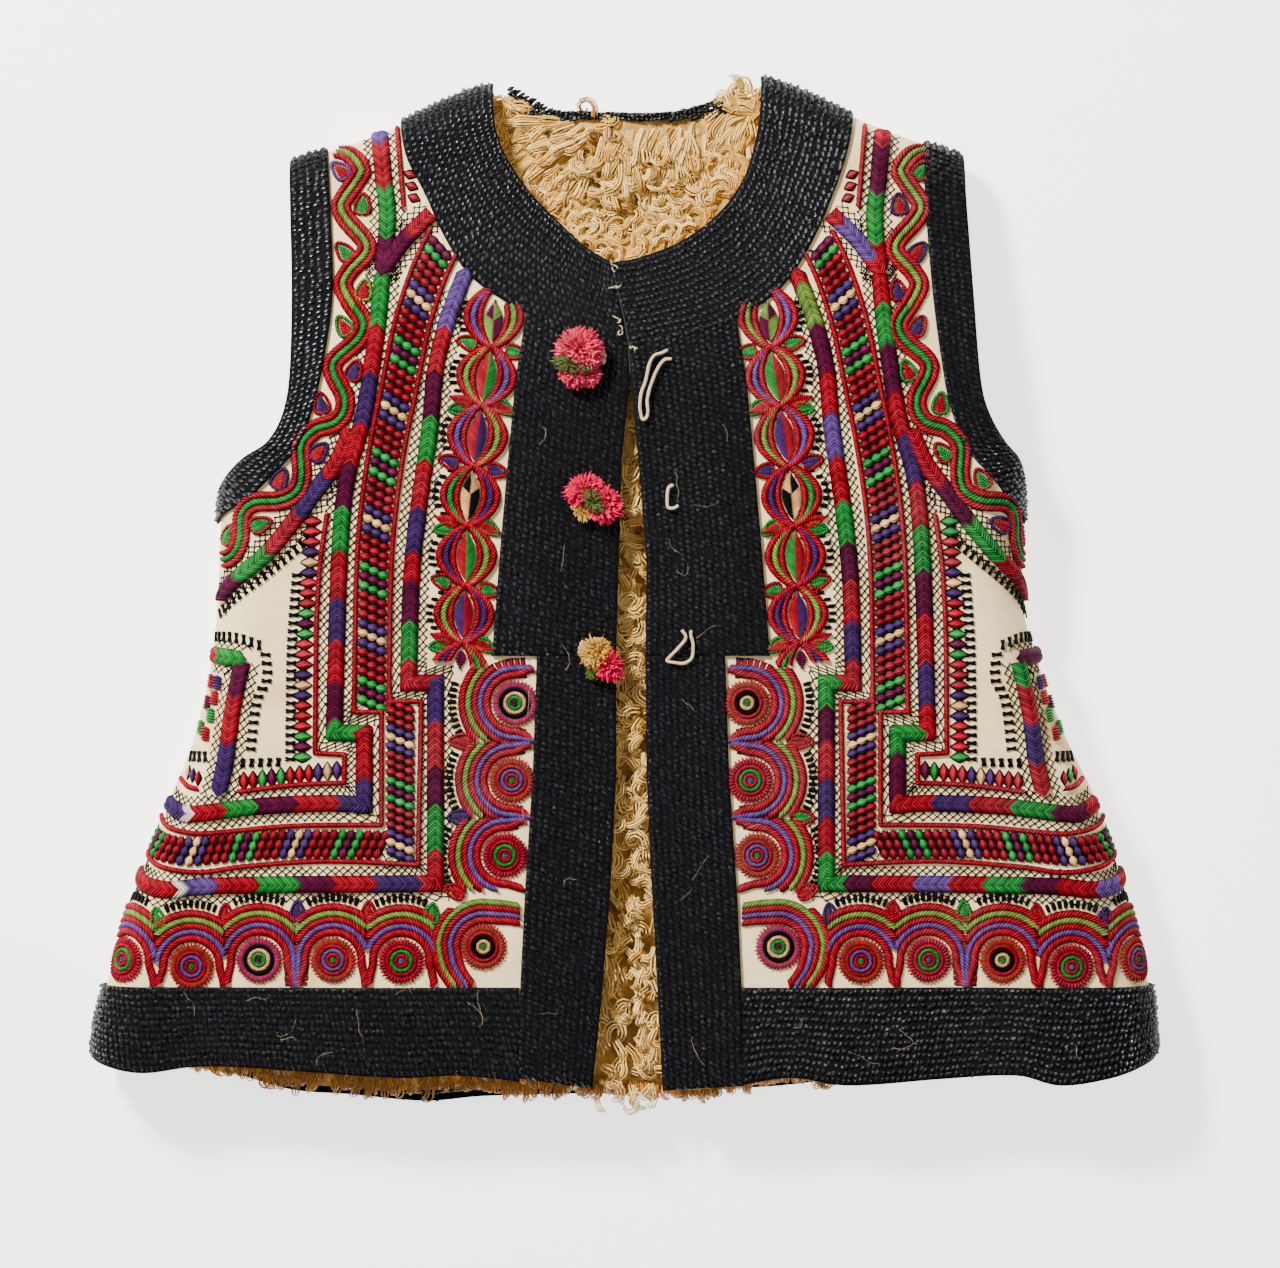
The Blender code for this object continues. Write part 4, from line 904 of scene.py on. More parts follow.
@dataclass
class Skin:
    """One cut piece of sheepskin, leather out, as a closed wall."""

    cut: Cut = field(default_factory=Cut)

    def shares(self) -> Array:
        """Returns: shares across a panel, from its middle to the side seam."""
        flat = np.linspace(0, ROLL_SHARE, self.cut.flat, endpoint=False)
        return np.concatenate([flat, np.linspace(ROLL_SHARE, 1, self.cut.roll + 1)])

    def outer_reach(self, side: Side, y: Array) -> Array:
        """Args: side; y. Returns: the side seam's reach, or the armhole's above it."""
        seam = VEST.flared_reach(side, y, 0, 1)
        return np.where(y > UNDERARM_Y, np.minimum(seam, ARMHOLE(side, y)), seam)

    def lower_rows(self, side: Side, hem: Table, underarm: Array, reach_at: Callable) -> list:
        """Args: side; hem table; underarm y of each column; reach for a y. Returns: rows of (reach, y)."""
        rows = []
        for i in range(self.cut.hem):
            rows.append(settled(reach_at, lambda reach, i=i: lerp(hem(side, reach), HEM_BAND_TOP, i / self.cut.hem)))
        for i in range(self.cut.lower):
            level = lerp(HEM_BAND_TOP, underarm, i / self.cut.lower)
            rows.append((reach_at(level), level))
        return rows

    def front_edge(self, side: Side) -> Array:
        """Args: side. Returns: the free front edge above the underarm's level, as (reach, y)."""
        edge = [(side.sign * float(CENTRE_EDGE(side, y)), y)
                for y in (FRONT_UNDERARM_Y, 68, FRONT_OPENING_TOP, NECK_FRONT_Y)]
        edge += [(side.sign * row.inner[0], row.inner[1]) for row in NECK_BAND[side.column][1:-1]]
        return spread(np.array(edge), self.cut.upper)

    def front_rows(self, side: Side) -> tuple[Array, Array]:
        """Args: side. Returns: reach and y over a front panel, a row for each station from the hem up."""
        share = self.shares()
        rows = self.lower_rows(
            side, FRONT_HEM, lerp(FRONT_UNDERARM_Y, UNDERARM_Y, share),
            lambda y: VEST.flared_reach(side, y, side.sign * CENTRE_EDGE(side, y), share),
        )
        inner = self.front_edge(side)
        shoulder_y = float(VEST.shoulder_start(side, ARMHOLE(side, 205)))
        for i, (reach, y) in enumerate(inner):
            rise = i / self.cut.upper
            outer_y = lerp(UNDERARM_Y, shoulder_y, rise ** ROWS_TO_SHOULDER)
            place = lerp(reach, self.outer_reach(side, outer_y), share)
            level = lerp(y, outer_y, share)
            level = level + (VEST.shoulder_start(side, place) - lerp(inner[-1][1], shoulder_y, share)) * rise ** 3
            rows.append((place, level))
        place = rows[-1][0]
        for i in range(1, self.cut.fold + 1):
            fold = (SHOULDER_RADIUS * QUARTER_TURN - SEAM_GAP) * i / self.cut.fold
            rows.append((place, VEST.shoulder_start(side, place) + fold))
        return np.array([row[0] for row in rows]), np.array([row[1] for row in rows])

    def back_rows(self, side: Side) -> tuple[Array, Array]:
        """Args: side. Returns: reach and y over half the back panel, from the hem up."""
        corner = abs(BACK_NECK_BAND[0 if side is LEFT else -1].inner[0])
        widest = float(ARMHOLE(side, 205))
        third = self.cut.flat // 3
        share = np.concatenate([
            np.linspace(0, corner / widest, third, endpoint=False),
            np.linspace(corner / widest, ROLL_SHARE, self.cut.flat - third, endpoint=False),
            np.linspace(ROLL_SHARE, 1, self.cut.roll + 1),
        ])
        rows = self.lower_rows(side, BACK_HEM, UNDERARM_Y + 0 * share,
                               lambda y: VEST.flared_reach(side, y, 0, share))
        crest = widest * share
        neckline = np.array([(row.inner[0], row.inner[1] - 2.5) for row in BACK_NECK_BAND[1:-1]])
        top = VEST.shoulder_start(side, crest) + SHOULDER_RADIUS * QUARTER_TURN - SEAM_GAP
        neck_top = np.interp(side.sign * crest, neckline[:, 0], neckline[:, 1])
        top = np.where(np.arange(len(share)) < third, neck_top, top)
        foot = np.minimum(VEST.shoulder_start(side, crest), top - 6)
        for i in range(self.cut.upper + 1):
            y = lerp(UNDERARM_Y, foot, (i / self.cut.upper) ** ROWS_TO_SHOULDER)
            rows.append((self.outer_reach(side, y) * share, y))
        for i in range(1, self.cut.fold + 1):
            rows.append((crest, lerp(foot, top, i / self.cut.fold)))
        return np.array([row[0] for row in rows]), np.array([row[1] for row in rows])

    def wall(self, outer: Array, inner: Array, flip: bool) -> Mesh:
        """Args: outer and inner grids of points; flip: turn the faces. Returns: the closed wall."""
        rows, columns = outer.shape[:2]
        faces = shell_faces(rows, columns)
        points = np.concatenate([outer.reshape(-1, 3), inner.reshape(-1, 3)])
        return Mesh(points, faces[:, ::-1] if flip else faces)

    def build(self, finishes: Finishes) -> None:
        """Args: finishes. Adds the three panels."""
        for side in SIDES:
            reach, y = self.front_rows(side)
            ripple = 0.18 * np.sin(reach / 6.1 + y / 13) * np.sin(y / 7.3 - reach / 17)
            outer = VEST.raised(side, reach, y, ripple)
            inner = VEST.raised(side, reach, y, -LEATHER)
            panel = add_mesh(f"{side.column}_front_leather", self.wall(outer, inner, side is LEFT), finishes.leather,
                             (f"{side.column}_front_panel",))
        halves = []
        for side in SIDES:
            reach, y = self.back_rows(side)
            grids = [VEST.raised(side, reach, y, height, Layer.BACK) for height in (0, -LEATHER)]
            halves.append([grid[:, ::-1] if side is LEFT else grid[:, 1:] for grid in grids])
        outer, inner = (np.concatenate([halves[0][i], halves[1][i]], axis=1) for i in (0, 1))
        back = add_mesh("back_leather", self.wall(outer, inner, True), finishes.back_leather,
                        ("back_panel",))


# The looped trim.


@dataclass
class TrimBand:
    """A band of dark wool sewn along an edge: a ground, and rows of slanted loops on it."""

    name: str
    nodes: tuple
    inner: Array  # points (X as signed reach, y) of one edge
    outer: Array
    layer: Layer = Layer.FRONT
    row_pitch: float = 2.8
    stitch_pitch: float = 3.5
    loop_length: float = 4.3
    loop_width: float = 2.3
    lean: float = math.radians(33)
    wraps: tuple = (0, 0)  # how far it goes round the leather's edge at its inner and outer edge
    wrap_drop: float = 0.9  # how much lower the loops are there

    def edges(self) -> tuple[Array, Array, float, float]:
        """Returns: both edges evenly in step, the band's length and its mean width."""
        out = unit(self.outer - self.inner)
        near, far = self.inner - out * self.wraps[0], self.outer + out * self.wraps[1]
        middle = measured((near + far) / 2)
        count = max(int(middle[-1] / 3), 4)
        at = np.linspace(0, middle[-1], count + 1)
        inner, outer = (on_line(edge, middle, at) for edge in (near, far))
        return inner, outer, float(middle[-1]), float(np.linalg.norm(outer - inner, axis=1).mean())

    def ground(self) -> Mesh:
        """Returns: the band's ground as a closed wall."""
        inner, outer, _, width = self.edges()
        share = np.linspace(0, 1, max(int(width / 3), 3))[None, :, None]
        grid = lerp(inner[:, None], outer[:, None], share)
        base, bed = (TRIM_BASE, TRIM_BED) if self.layer is Layer.FRONT else (BACK_TRIM_BASE, BACK_TRIM_BED)
        grids = [VEST.by_x(grid[..., 0], grid[..., 1], height, self.layer) for height in (bed, base)]
        rows, columns = grids[0].shape[:2]
        return Mesh(np.concatenate([part.reshape(-1, 3) for part in grids]), shell_faces(rows, columns))

    def loops(self) -> Mesh:
        """Returns: the slanted loops of wool that cover the ground."""
        random = np.random.default_rng(SEED + len(self.name))
        inner, outer, length, width = self.edges()
        rows, columns = max(round(length / self.row_pitch), 2), max(round(width / self.stitch_pitch), 2)
        row, column = (grid.ravel() for grid in np.meshgrid(np.arange(rows), np.arange(columns), indexing="ij"))
        count = len(row)
        along = (row + (0.5 + 0.3 * column) % 1) / rows * length + random.normal(0, 0.3, count)
        across = clamp((column + 0.5) / columns * width + random.normal(0, 0.35, count), 0.5, width - 0.5)
        angle = self.lean + random.normal(0, 0.16, count)
        size = self.loop_length * random.uniform(0.75, 1.15, count)
        t = np.array([-0.5, -0.2, 0.2, 0.5])  # stations along a loop
        s = clamp(along[:, None] + np.sin(angle)[:, None] * size[:, None] * t, 0, length)
        v = clamp(across[:, None] + np.cos(angle)[:, None] * size[:, None] * t, 0.2, width - 0.2)
        profile = np.linspace(-1, 1, 3)
        half = 0.5 * self.loop_width * random.uniform(0.85, 1.15, count)[:, None, None]
        full = np.array([0.45, 1, 1, 0.45])[None, :, None]
        s = s[:, :, None] + np.cos(angle)[:, None, None] * half * full * profile
        v = v[:, :, None] - np.sin(angle)[:, None, None] * half * full * profile
        front = self.layer is Layer.FRONT
        bed, top = (TRIM_BED, TRIM_TOP) if front else (BACK_TRIM_BED, BACK_TRIM_TOP)
        crown = (top - bed) * random.uniform(0.5, 1, count)[:, None, None]
        sunk = np.where((v < self.wraps[0]) | (v > width - self.wraps[1]), self.wrap_drop, 0)
        bulge = crown * np.array([0, 1, 1, 0])[None, :, None]
        height = bed - 0.25 - sunk + bulge * np.sqrt(1 - 0.95 * profile ** 2)
        at = clamp(s, 0, length) / length * (len(inner) - 1)
        ends = [on_line(edge, np.arange(len(edge)), at) for edge in (inner, outer)]
        place = lerp(*ends, (v / width)[..., None])
        points = VEST.by_x(place[..., 0], place[..., 1], height, self.layer).reshape(-1, 3)
        dye = random.choice([DYE_INDEX[Dye.NAVY], DYE_INDEX[Dye.SLATE]], count, p=[0.7, 0.3])
        yarn = stacked(t[:, None] * self.loop_length, profile, random.random(count)[:, None, None]).reshape(-1, 3)
        grid = len(t), len(profile)
        return Mesh(points, repeated(grid_faces(*grid), count), np.repeat(dye, math.prod(grid)), yarn)

    def build(self, finishes: Finishes) -> None:
        """Args: finishes. Adds the ground and its loops."""
        ground = add_mesh(self.name, self.ground(), finishes.trim_bed, self.nodes)
        loops = add_mesh(f"{self.name}_loops", self.loops(), finishes.trim)


def band_edges(rows: Sequence[Edges], side: Side | None) -> tuple[Array, Array]:
    """Smooth edges of a band.

    Args:
        rows: crosswise lines, where a None is on the seam there.
        side: the half that it is on, or None where it runs over both.
    Returns:
        Its inner and outer edges as (X, y).
    """
    found = []
    for line in rows:
        ends = []
        for x, y in line:
            here = side or (LEFT if x < 0 else RIGHT)
            if y is None:
                y = float(VEST.shoulder_seam(here, abs(x)))
            if x is None:
                x = float(VEST.side_seam(here, y)) * here.sign
            elif side is not None and x > 0 and rows[0] in ARMHOLE_BAND[side.column]:
                x *= side.sign
            ends.append((x, y))
        found.append(ends)
    return tuple(curve_through([row[i] for row in found], 8) for i in (0, 1))


NECKLINE = np.array([(-59.9, 260.2), (-48.4, 253.2), (-37.6, 247.5), (-21.8, 246), (-5.7, 245.4), (9.9, 244.9),
                     (26, 246.5), (36.7, 249.6), (47.3, 253.2), (56.7, 257)])  # of the back, as it shows


def fleece_top(x: Array, y: Array) -> Array:
    """Args: x, y. Returns: the height of the wool inside the neck."""
    puff = NECK_PUFF * np.maximum(1 - (x / NECK_PUFF_WIDTH) ** 2 - ((y - NECK_PUFF_Y) / NECK_PUFF_LENGTH) ** 2, 0)
    return VEST.middle_height(y) - WOOL_GAP + puff


@dataclass
class Trims:
    """All the looped bands."""

    wrap: float = 1.6  # how far a band goes round the leather's edge
    hem_stations: int = 60
    hem_binding_height: float = 6.5
    placket_stations: int = 40
    upper_overhang: float = 1.4  # how far the upper placket's trim reaches past its line

    def placket_parts(self, side: Side) -> list[tuple[Array, Array]]:
        """Args: side. Returns: edges of the lower and the upper, wider stretch, which meet with no gap."""
        foot = LOWER_PLACKET[0] if side is LEFT else RIGHT_PLACKET_FOOT
        top = PlacketRow(PLACKET_STEP_Y, LOWER_PLACKET[-1].outer_u, PLACKET_STEP_Y)
        parts = []
        for rows, more in (([foot, *LOWER_PLACKET[1:-1], top], 0), (UPPER_PLACKET, self.upper_overhang)):
            inner = [(float(CENTRE_EDGE(side, row.inner_y)) + side.sign * SEAM_GAP, row.inner_y) for row in rows]
            outer = [(side.sign * (row.outer_u + side.sign * AXIS_X + more), row.outer_y) for row in rows]
            parts.append(tuple(spread(np.array(edge), self.placket_stations) for edge in (inner, outer)))
        return parts

    def hem_edges(self, side: Side, layer: Layer) -> tuple[Array, Array]:
        """Args: side; layer. Returns: the hem band's low and high edges from the middle to the side seam."""
        front = layer is Layer.FRONT
        start = LOWER_PLACKET[0].outer_u + side.sign * AXIS_X - 0.6 if front else 0.0
        share = np.concatenate([np.linspace(0, ROLL_SHARE, self.hem_stations, endpoint=False),
                                np.linspace(ROLL_SHARE, 1, self.hem_stations // 4)])
        table = FRONT_HEM if front else BACK_HEM
        reach, low = settled(lambda y: VEST.flared_reach(side, y, start, share), lambda r: table(side, r))
        top_y = np.full_like(share, HEM_BAND_TOP)
        top = VEST.flared_reach(side, top_y, start, share)
        return stacked(side.sign * reach, low - (0 if front else 1)), stacked(side.sign * top, top_y)

    def binding(self, name: str, line: Array, rows: Sequence[tuple], high: Callable, finishes: Finishes) -> None:
        """Adds the stitches that wrap an edge of the back on its fleece side.

        Args:
            name: the piece's name.
            line: the edge, one place for each stitch.
            rows: (how far in, least distance from the middle, how much further in at the ends) of each row.
            high: gives the height at (x, y).
            finishes: the finishes.
        """
        random = np.random.default_rng(SEED + 7)
        places = []
        for inset, least, more in rows:
            row = line[np.abs(line[:, 0]) >= least]
            places.append(row - stacked(0, inset + more * (row[:, 0] / 60) ** 2))
        places = np.concatenate(places)
        x, y = (places + random.normal(0, 0.25, places.shape)).T[..., None]
        t = np.array([-1, 0, 1])
        paths = stacked(x + 1.7 * t, y + 0.9 * t, high(x, y) + 0.5 - t * t)
        radii = np.broadcast_to([0.6, 1.2, 0.6], (len(x), 3))
        add_mesh(name, tubes(paths, radii, 5, DYE_INDEX[Dye.NAVY]), finishes.trim)

    def build(self, finishes: Finishes) -> None:
        """Args: finishes. Adds every band."""
        flat = {"layer": Layer.BACK, "row_pitch": 4.4, "stitch_pitch": 3.4, "loop_width": 2.5, "loop_length": 4.2}
        inward, outward = (self.wrap, 0), (0, self.wrap)
        for side in SIDES:
            name = side.column
            slope = {"lean": math.radians(-40 * side.sign), "wraps": inward}
            lower, upper = self.placket_parts(side)
            arm = band_edges(ARMHOLE_BAND[name], side)
            for band, node, edges, sizes in (
                ("neck_trim", "neck_band", band_edges(NECK_BAND[name], side),
                 {"lean": side.sign * math.radians(62), "wraps": inward}),
                ("placket_trim_1", "placket", lower, slope),
                ("placket_trim_2", None, upper, slope),
                ("hem_trim", "hem_band", self.hem_edges(side, Layer.FRONT), {"wraps": inward}),
                ("armhole_trim", "armhole_band_front", arm, {"wraps": outward}),
                ("armhole_trim_back", "armhole_band_back", arm, {**flat, "wraps": outward}),
            ):
                TrimBand(f"{name}_{band}", (f"{name}_{node}",) if node else (), *edges, **sizes).build(finishes)
        TrimBand("back_neck_trim", ("back_neck_band",), *band_edges(BACK_NECK_BAND, None), **flat).build(finishes)
        self.binding("back_neck_binding", spread(NECKLINE, 52),
                     ((0.8, 0, 0), (2.6, 0, 0.6), (4.4, 24, 1), (6.2, 36, 1.2), (8, 44, 1.4)),
                     lambda x, y: fleece_top(x, y) + 1, finishes)
        reach = np.linspace(14, 236, 74)
        low = stacked(-reach, BACK_HEM(LEFT, reach))
        self.binding("back_hem_binding", low, ((-1.2, 0, 0), (-3.2, 0, 0), (-5.2, 60, 0)),
                     lambda x, y: self.hem_binding_height, finishes)
        halves = [self.hem_edges(side, Layer.BACK) for side in SIDES]
        whole = [np.concatenate([halves[0][i][:0:-1], halves[1][i]]) for i in (0, 1)]
        TrimBand("back_hem_trim", ("back_hem_band",), *whole, **flat, wraps=(3, 0)).build(finishes)


# The embroidery, as (u, y) places.

Spot = tuple[float, float]

OUTER_TOP = [[(131.5, 236), (129, 208)], [(127, 188.8), (129.5, 157)]]
OUTER_CORD = [
    [(129, 163), (132.6, 125.3), (138.8, 85.3), (147.2, 53.6), (151.3, 10.9), (153.9, -79)],
    [(138.3, -79)], [(138.3, -116.5)],
    [(156.5, -115.4), (192.9, -117), (227.8, -121.2), (237, -119.5), (246, -116)],
]
INNER_CORD = [
    [(85, 163), (92, 145), (96.5, 131), (101.5, 109.2), (104.5, 77.5), (110.2, 37.4), (113.9, 0),
     (115.4, -53)],
    [(101.4, -53)], [(101.4, -157)],
    [(172.1, -157.6), (220, -158.5), (240, -160.5), (256, -158), (268, -153)],
]
NECK_CORD = [[(104, 191.4), (118, 177.3), (131.5, 158.5)]]
ARMHOLE_CORD = [[(145.1, 78.5), (152.4, 62), (159.5, 52), (174.2, 32.2), (190.8, 12.5), (210.1, -2.1),
                 (219, -11)]]
SIDE_CORD_TOP = [[(221, -38.5), (197.6, -41.1)]]
SIDE_CORD = [[(201.8, -42.1), (207, -67.6), (210.6, -94.6), (214.8, -113)]]
BRICK_BAND = [[(96.5, 179.5), (105.5, 159.5), (113.8, 133.1), (120.1, 101.4), (126.4, 69.7), (131, 37.4), (133.6, 0),
               (134.6, -68)]]
BRICK_DROP = [[(119.6, -62), (119.6, -145)]]
BRICK_FOOT = [[(120, -137), (175.9, -136.6), (212, -139), (230, -140.5), (250, -137.5), (262, -133)]]
THIN_CORDS = (
    [[(143.4, -58), (143.9, -68.1)], [(129.5, -68.1)], [(129.5, -126.6)],
     [(175.9, -127.2), (219, -131), (232, -130.5), (244.9, -127.4), (254, -122.5)]],
    [[(125.7, -54), (124.4, -62.6)], [(108.8, -62.6)], [(110.4, -147.2)],
     [(158.7, -145.4), (201.8, -148.4), (223.3, -151.3), (244.9, -148.7), (265, -141.5)]],
    [[(157.6, 35.4), (161.2, 10.4), (162.8, -12.5), (163.4, -30.7), (163.9, -89.3)], [(148.6, -90.2)],
     [(148.8, -104.8)], [(175, -106), (204.4, -109.6)]],
    [[(122.2, 239.7), (120.6, 218.9), (118.4, 193.4)]],
    [[(238.7, -103), (231, -107), (223.3, -108.2)]],
)
VINE_LINE = [[
    (154.4, 226.9), (147.7, 224.1), (140.9, 215.1), (144, 208), (149.8, 199.7), (151.3, 194.5), (147.7, 187.7),
    (138.8, 177.3), (138.3, 170.6), (146.6, 161.2), (149.8, 153.9), (145.6, 144.6), (139.1, 134.2), (142, 125.3),
    (153.4, 114.9), (154.4, 107.6), (148.7, 95.7), (149.2, 87.4), (154.4, 81.6), (163.8, 78.5), (171.1, 70.2),
    (170.8, 55.1), (173.7, 46.3), (182.5, 41.6), (195.5, 40.6), (202.3, 34.3), (203.3, 21.3), (208, 13.3),
    (216.8, 10.9),
]]
OVAL_CROSSINGS = [(70.2, 153), (72.4, 121.2), (77.5, 91), (81.8, 59.5), (84.9, 28.6), (85.8, -2.6), (87.4, -32.2),
                  (91, -64)]

LETTERS = {"R": Dye.RED, "G": Dye.GREEN, "L": Dye.LIGHT_GREEN, "P": Dye.PURPLE, "V": Dye.LAVENDER, "M": Dye.MAGENTA,
           "W": Dye.WHITE, "E": Dye.PEACH, "K": Dye.BLACK, "N": Dye.GOLD, "D": Dye.CRIMSON}
R, G, L, P, V, M, _, E, K, N, D = LETTERS.values()
BRICK_ROWS = "PEPDDDGMGDDD"
LONG_CORDS = (  # name, route, which way its chevrons point along it, dyes with their lengths, slot, lift
    ("outer_cord_top", OUTER_TOP, 1, "V10 R23 G26 M30", "red_wool", 0),
    ("outer_cord", OUTER_CORD, -1, "G29 R26 P26 R22 M22 G23 R26 P21 R21 M20 G18 R28 P26 R22 M21 G18 R16 W5 P30",
     "red_wool", 0),
    ("inner_cord", INNER_CORD, -1, "V33 R23 M23 G24 R24 P24 R14 M21 G20 R24 P22 R23 M21 G23 R25 P22 R22 M19 G21 R22 "
     "V15 W5 R40", "red_wool", 0),
    ("neck_cord", NECK_CORD, 1, "R19 M30", "red_wool", 0.9),
    ("armhole_cord", ARMHOLE_CORD, 1, "R29 P26 R24 G22 M30", "green_wool", 0),
    ("side_cord", SIDE_CORD, 1, "M20 R26 P40", "green_wool", 0),
    ("side_cord_top", SIDE_CORD_TOP, 1, "R6 G30", "green_wool", 0.5),
)
VINE_LEAVES = (  # u, y, the way the tip points in degrees, outline, filling
    (152, 214.8, 45, "VR"), (139.9, 196.6, 95, "RG"), (149.6, 171.8, 50, "RG"), (138.8, 151.3, 100, "LR"),
    (149.4, 132.6, 60, "GR"), (143.6, 109.2, 111, "RP"), (160.7, 92.2, 81, "RP"), (161.8, 66.9, 133, "PR"),
    (181.9, 52.9, 117, "PR"), (191.9, 29.4, 160, "RG"), (212, 24, 120, "RG"),
)
LOZENGES = {  # letters of the dyes down the column, along the foot, and in the corner by the hem
    "left": ("RRRPEPRRRGMGRRRPEPRRRGMG", "PEPRRRGMGRR", "RPE"),
    "right": ("GGRRRPEPRRRGMGRRRPEPRRRG", "MGRRRPEPRRR", "RGR"),
}
RIGHT_RUNS = {  # dyes with their lengths, where the right front has others
    "outer_cord_top": "R12 M24 G27 R40",
    "outer_cord": "R18 G22 M25 R23 P25 R22 G23 M23 R25 P22 R17 G24 M21 R24 P20 R21 G22 M17 R60",
    "inner_cord": "R8 L24 M24 R22 V22 R24 G22 M19 R21 P21 R17 G21 M18 R19 P20 R18 G25 M15 R22 V18 R18 G20 M17 R20 V16 "
                  "R40",
    "neck_cord": "R10 V24 R30",
    "armhole_cord": "R34 M25 G25 R40",
    "side_cord": "G15 R20 P21 R40",
    "side_cord_top": "M40",
}
RIGHT_LEAF_DYES = ("RG", "PR", "PR", "RP", "RP", "GR", "GR", "RG", "RG", "PR", "PR")


def teardrop(t: Array) -> Array:
    """Args: t from base to tip. Returns: a leaf's half-width there, at most 1."""
    return np.sqrt(np.maximum(np.sin(math.pi * np.asarray(t, float) ** 0.72), 0)) * (1.04 - 0.3 * t)


def pointed(t: Array) -> Array:
    """Args: t from end to end. Returns: an almond's half-width there, at most 1."""
    return np.sin(math.pi * np.asarray(t, float)) ** 0.85


@dataclass
class Motifs(Needlework):
    """Needlework with the small forms that the borders share."""

    def thin(self, legs: Sequence, dye: Dye, half: float = 1.4, base: float = STITCH_BASE, crown: float = 2.0,
             runs: Sequence = ()) -> None:
        """Args: legs; dye; half width; base; crown; runs. Lays a thin twisted cord."""
        self.cord(Route(legs), half, crown, runs or ((dye, 1),), Weave.TWIST, 1.75, columns=5, base=base, lean=0.9)

    def ground(self, line: Sequence[Spot], half: float) -> None:
        """Args: line; half width. Lays the low dark wool that shows between neighbouring cords."""
        self.cord(Route([line]), half, 0.6, ((D, 1),), Weave.SATIN, 3, columns=5, base=0.45)

    def turned(self, at: Spot, angle: float, out: Array, aside: Array, height: float) -> Array:
        """Args: at; angle; places along and across it; height. Returns: flat places."""
        cos, sin = math.cos(angle), math.sin(angle)
        return stacked(at[0] + cos * out - sin * aside, at[1] + sin * out + cos * aside, height)

    def satin(self, at: Spot, angle: float, length: float, wide: float, shape: Callable, dyes: Sequence,
              base: float = STITCH_BASE, crown: float = 1.3) -> None:
        """Fills a leaf with slanting stitches from its middle line to both edges.

        Args:
            at, angle: its base and the way it points.
            length, wide: its length and half-width in mm.
            shape: the share of the half-width along it.
            dyes: for either side, the colours from base to tip.
            base, crown: heights.
        """
        count = max(int(length / 1.1), 3)
        t = (np.arange(count) + 0.3) / count
        run = np.linspace(0, 1, 4)
        for sign, colours in zip((-1, 1), dyes):
            along = np.minimum(t[:, None] + 0.16 * run, 0.99)
            paths = self.turned(at, angle, along * length, sign * wide * shape(along[:, -1:]) * run - 0.35 * sign, base)
            which = np.minimum((t * len(colours)).astype(int), len(colours) - 1)
            self.threads(paths, 1.35, crown, np.array([DYE_INDEX[dye] for dye in colours])[which], columns=3, taper=0.6)

    def leaf(self, u: float, y: float, degrees: float, rim: Dye, fill: Dye, length: float = 11.4,
             wide: float = 4.3) -> None:
        """Args: u, y: its middle; degrees; rim and fill dyes; length; half-width. Lays a corded leaf."""
        angle = math.radians(degrees)
        base = (u - 0.5 * length * math.cos(angle), y - 0.5 * length * math.sin(angle))
        t = np.linspace(0, 1, 15)
        both = np.concatenate([t, t[-2::-1]])
        side = np.concatenate([np.ones(15), -np.ones(14)])
        line = self.turned(base, angle, both * length, side * wide * teardrop(both), 0)[:, :2]
        self.satin(base, angle, length * 0.86, wide - 0.8, teardrop, ((fill,), (fill,)))
        self.thin([line], rim, 0.95, crown=1.7)

    def bars(self, middles: Array, angles: Array, length: float, width: float, cross: float = 0.0) -> None:
        """Args: middles (n, 2); angles; length; width; cross: half the spread of a crossed pair. Lays black bars."""
        t = np.linspace(-0.5, 0.5, 4)
        for sign in (1, -1) if cross else (0,):
            lean = (angles + sign * cross * 2.2 / length)[:, None]
            paths = stacked(middles[:, :1] + np.cos(lean) * t * length, middles[:, 1:] + np.sin(lean) * t * length, 0.5)
            self.threads(paths, width * self.random.uniform(0.85, 1.1, len(middles)), 1, DYE_INDEX[K], columns=4,
                         taper=0.8)

    def lozenges(self, spots: Sequence[Spot], dyes: str, angle: float, length: float, width: float) -> None:
        """Args: spots; letters of dyes; angle of the length; length; width. Lays pointed beads in black outlines."""
        middles = np.array(spots, float)
        t = np.linspace(-0.5, 0.5, 7)
        for grow, high, colour in ((1.5, 0.35, K), (0, STITCH_BASE, None)):
            paths = stacked(middles[:, :1] + math.cos(angle) * t * (length + grow),
                            middles[:, 1:] + math.sin(angle) * t * (length + grow), high)
            colours = np.array([DYE_INDEX[colour or LETTERS[letter]] for letter in dyes])
            self.threads(paths, width + grow, 0.9 + high * 0.9, colours, taper=0.12, bluntness=1.35)


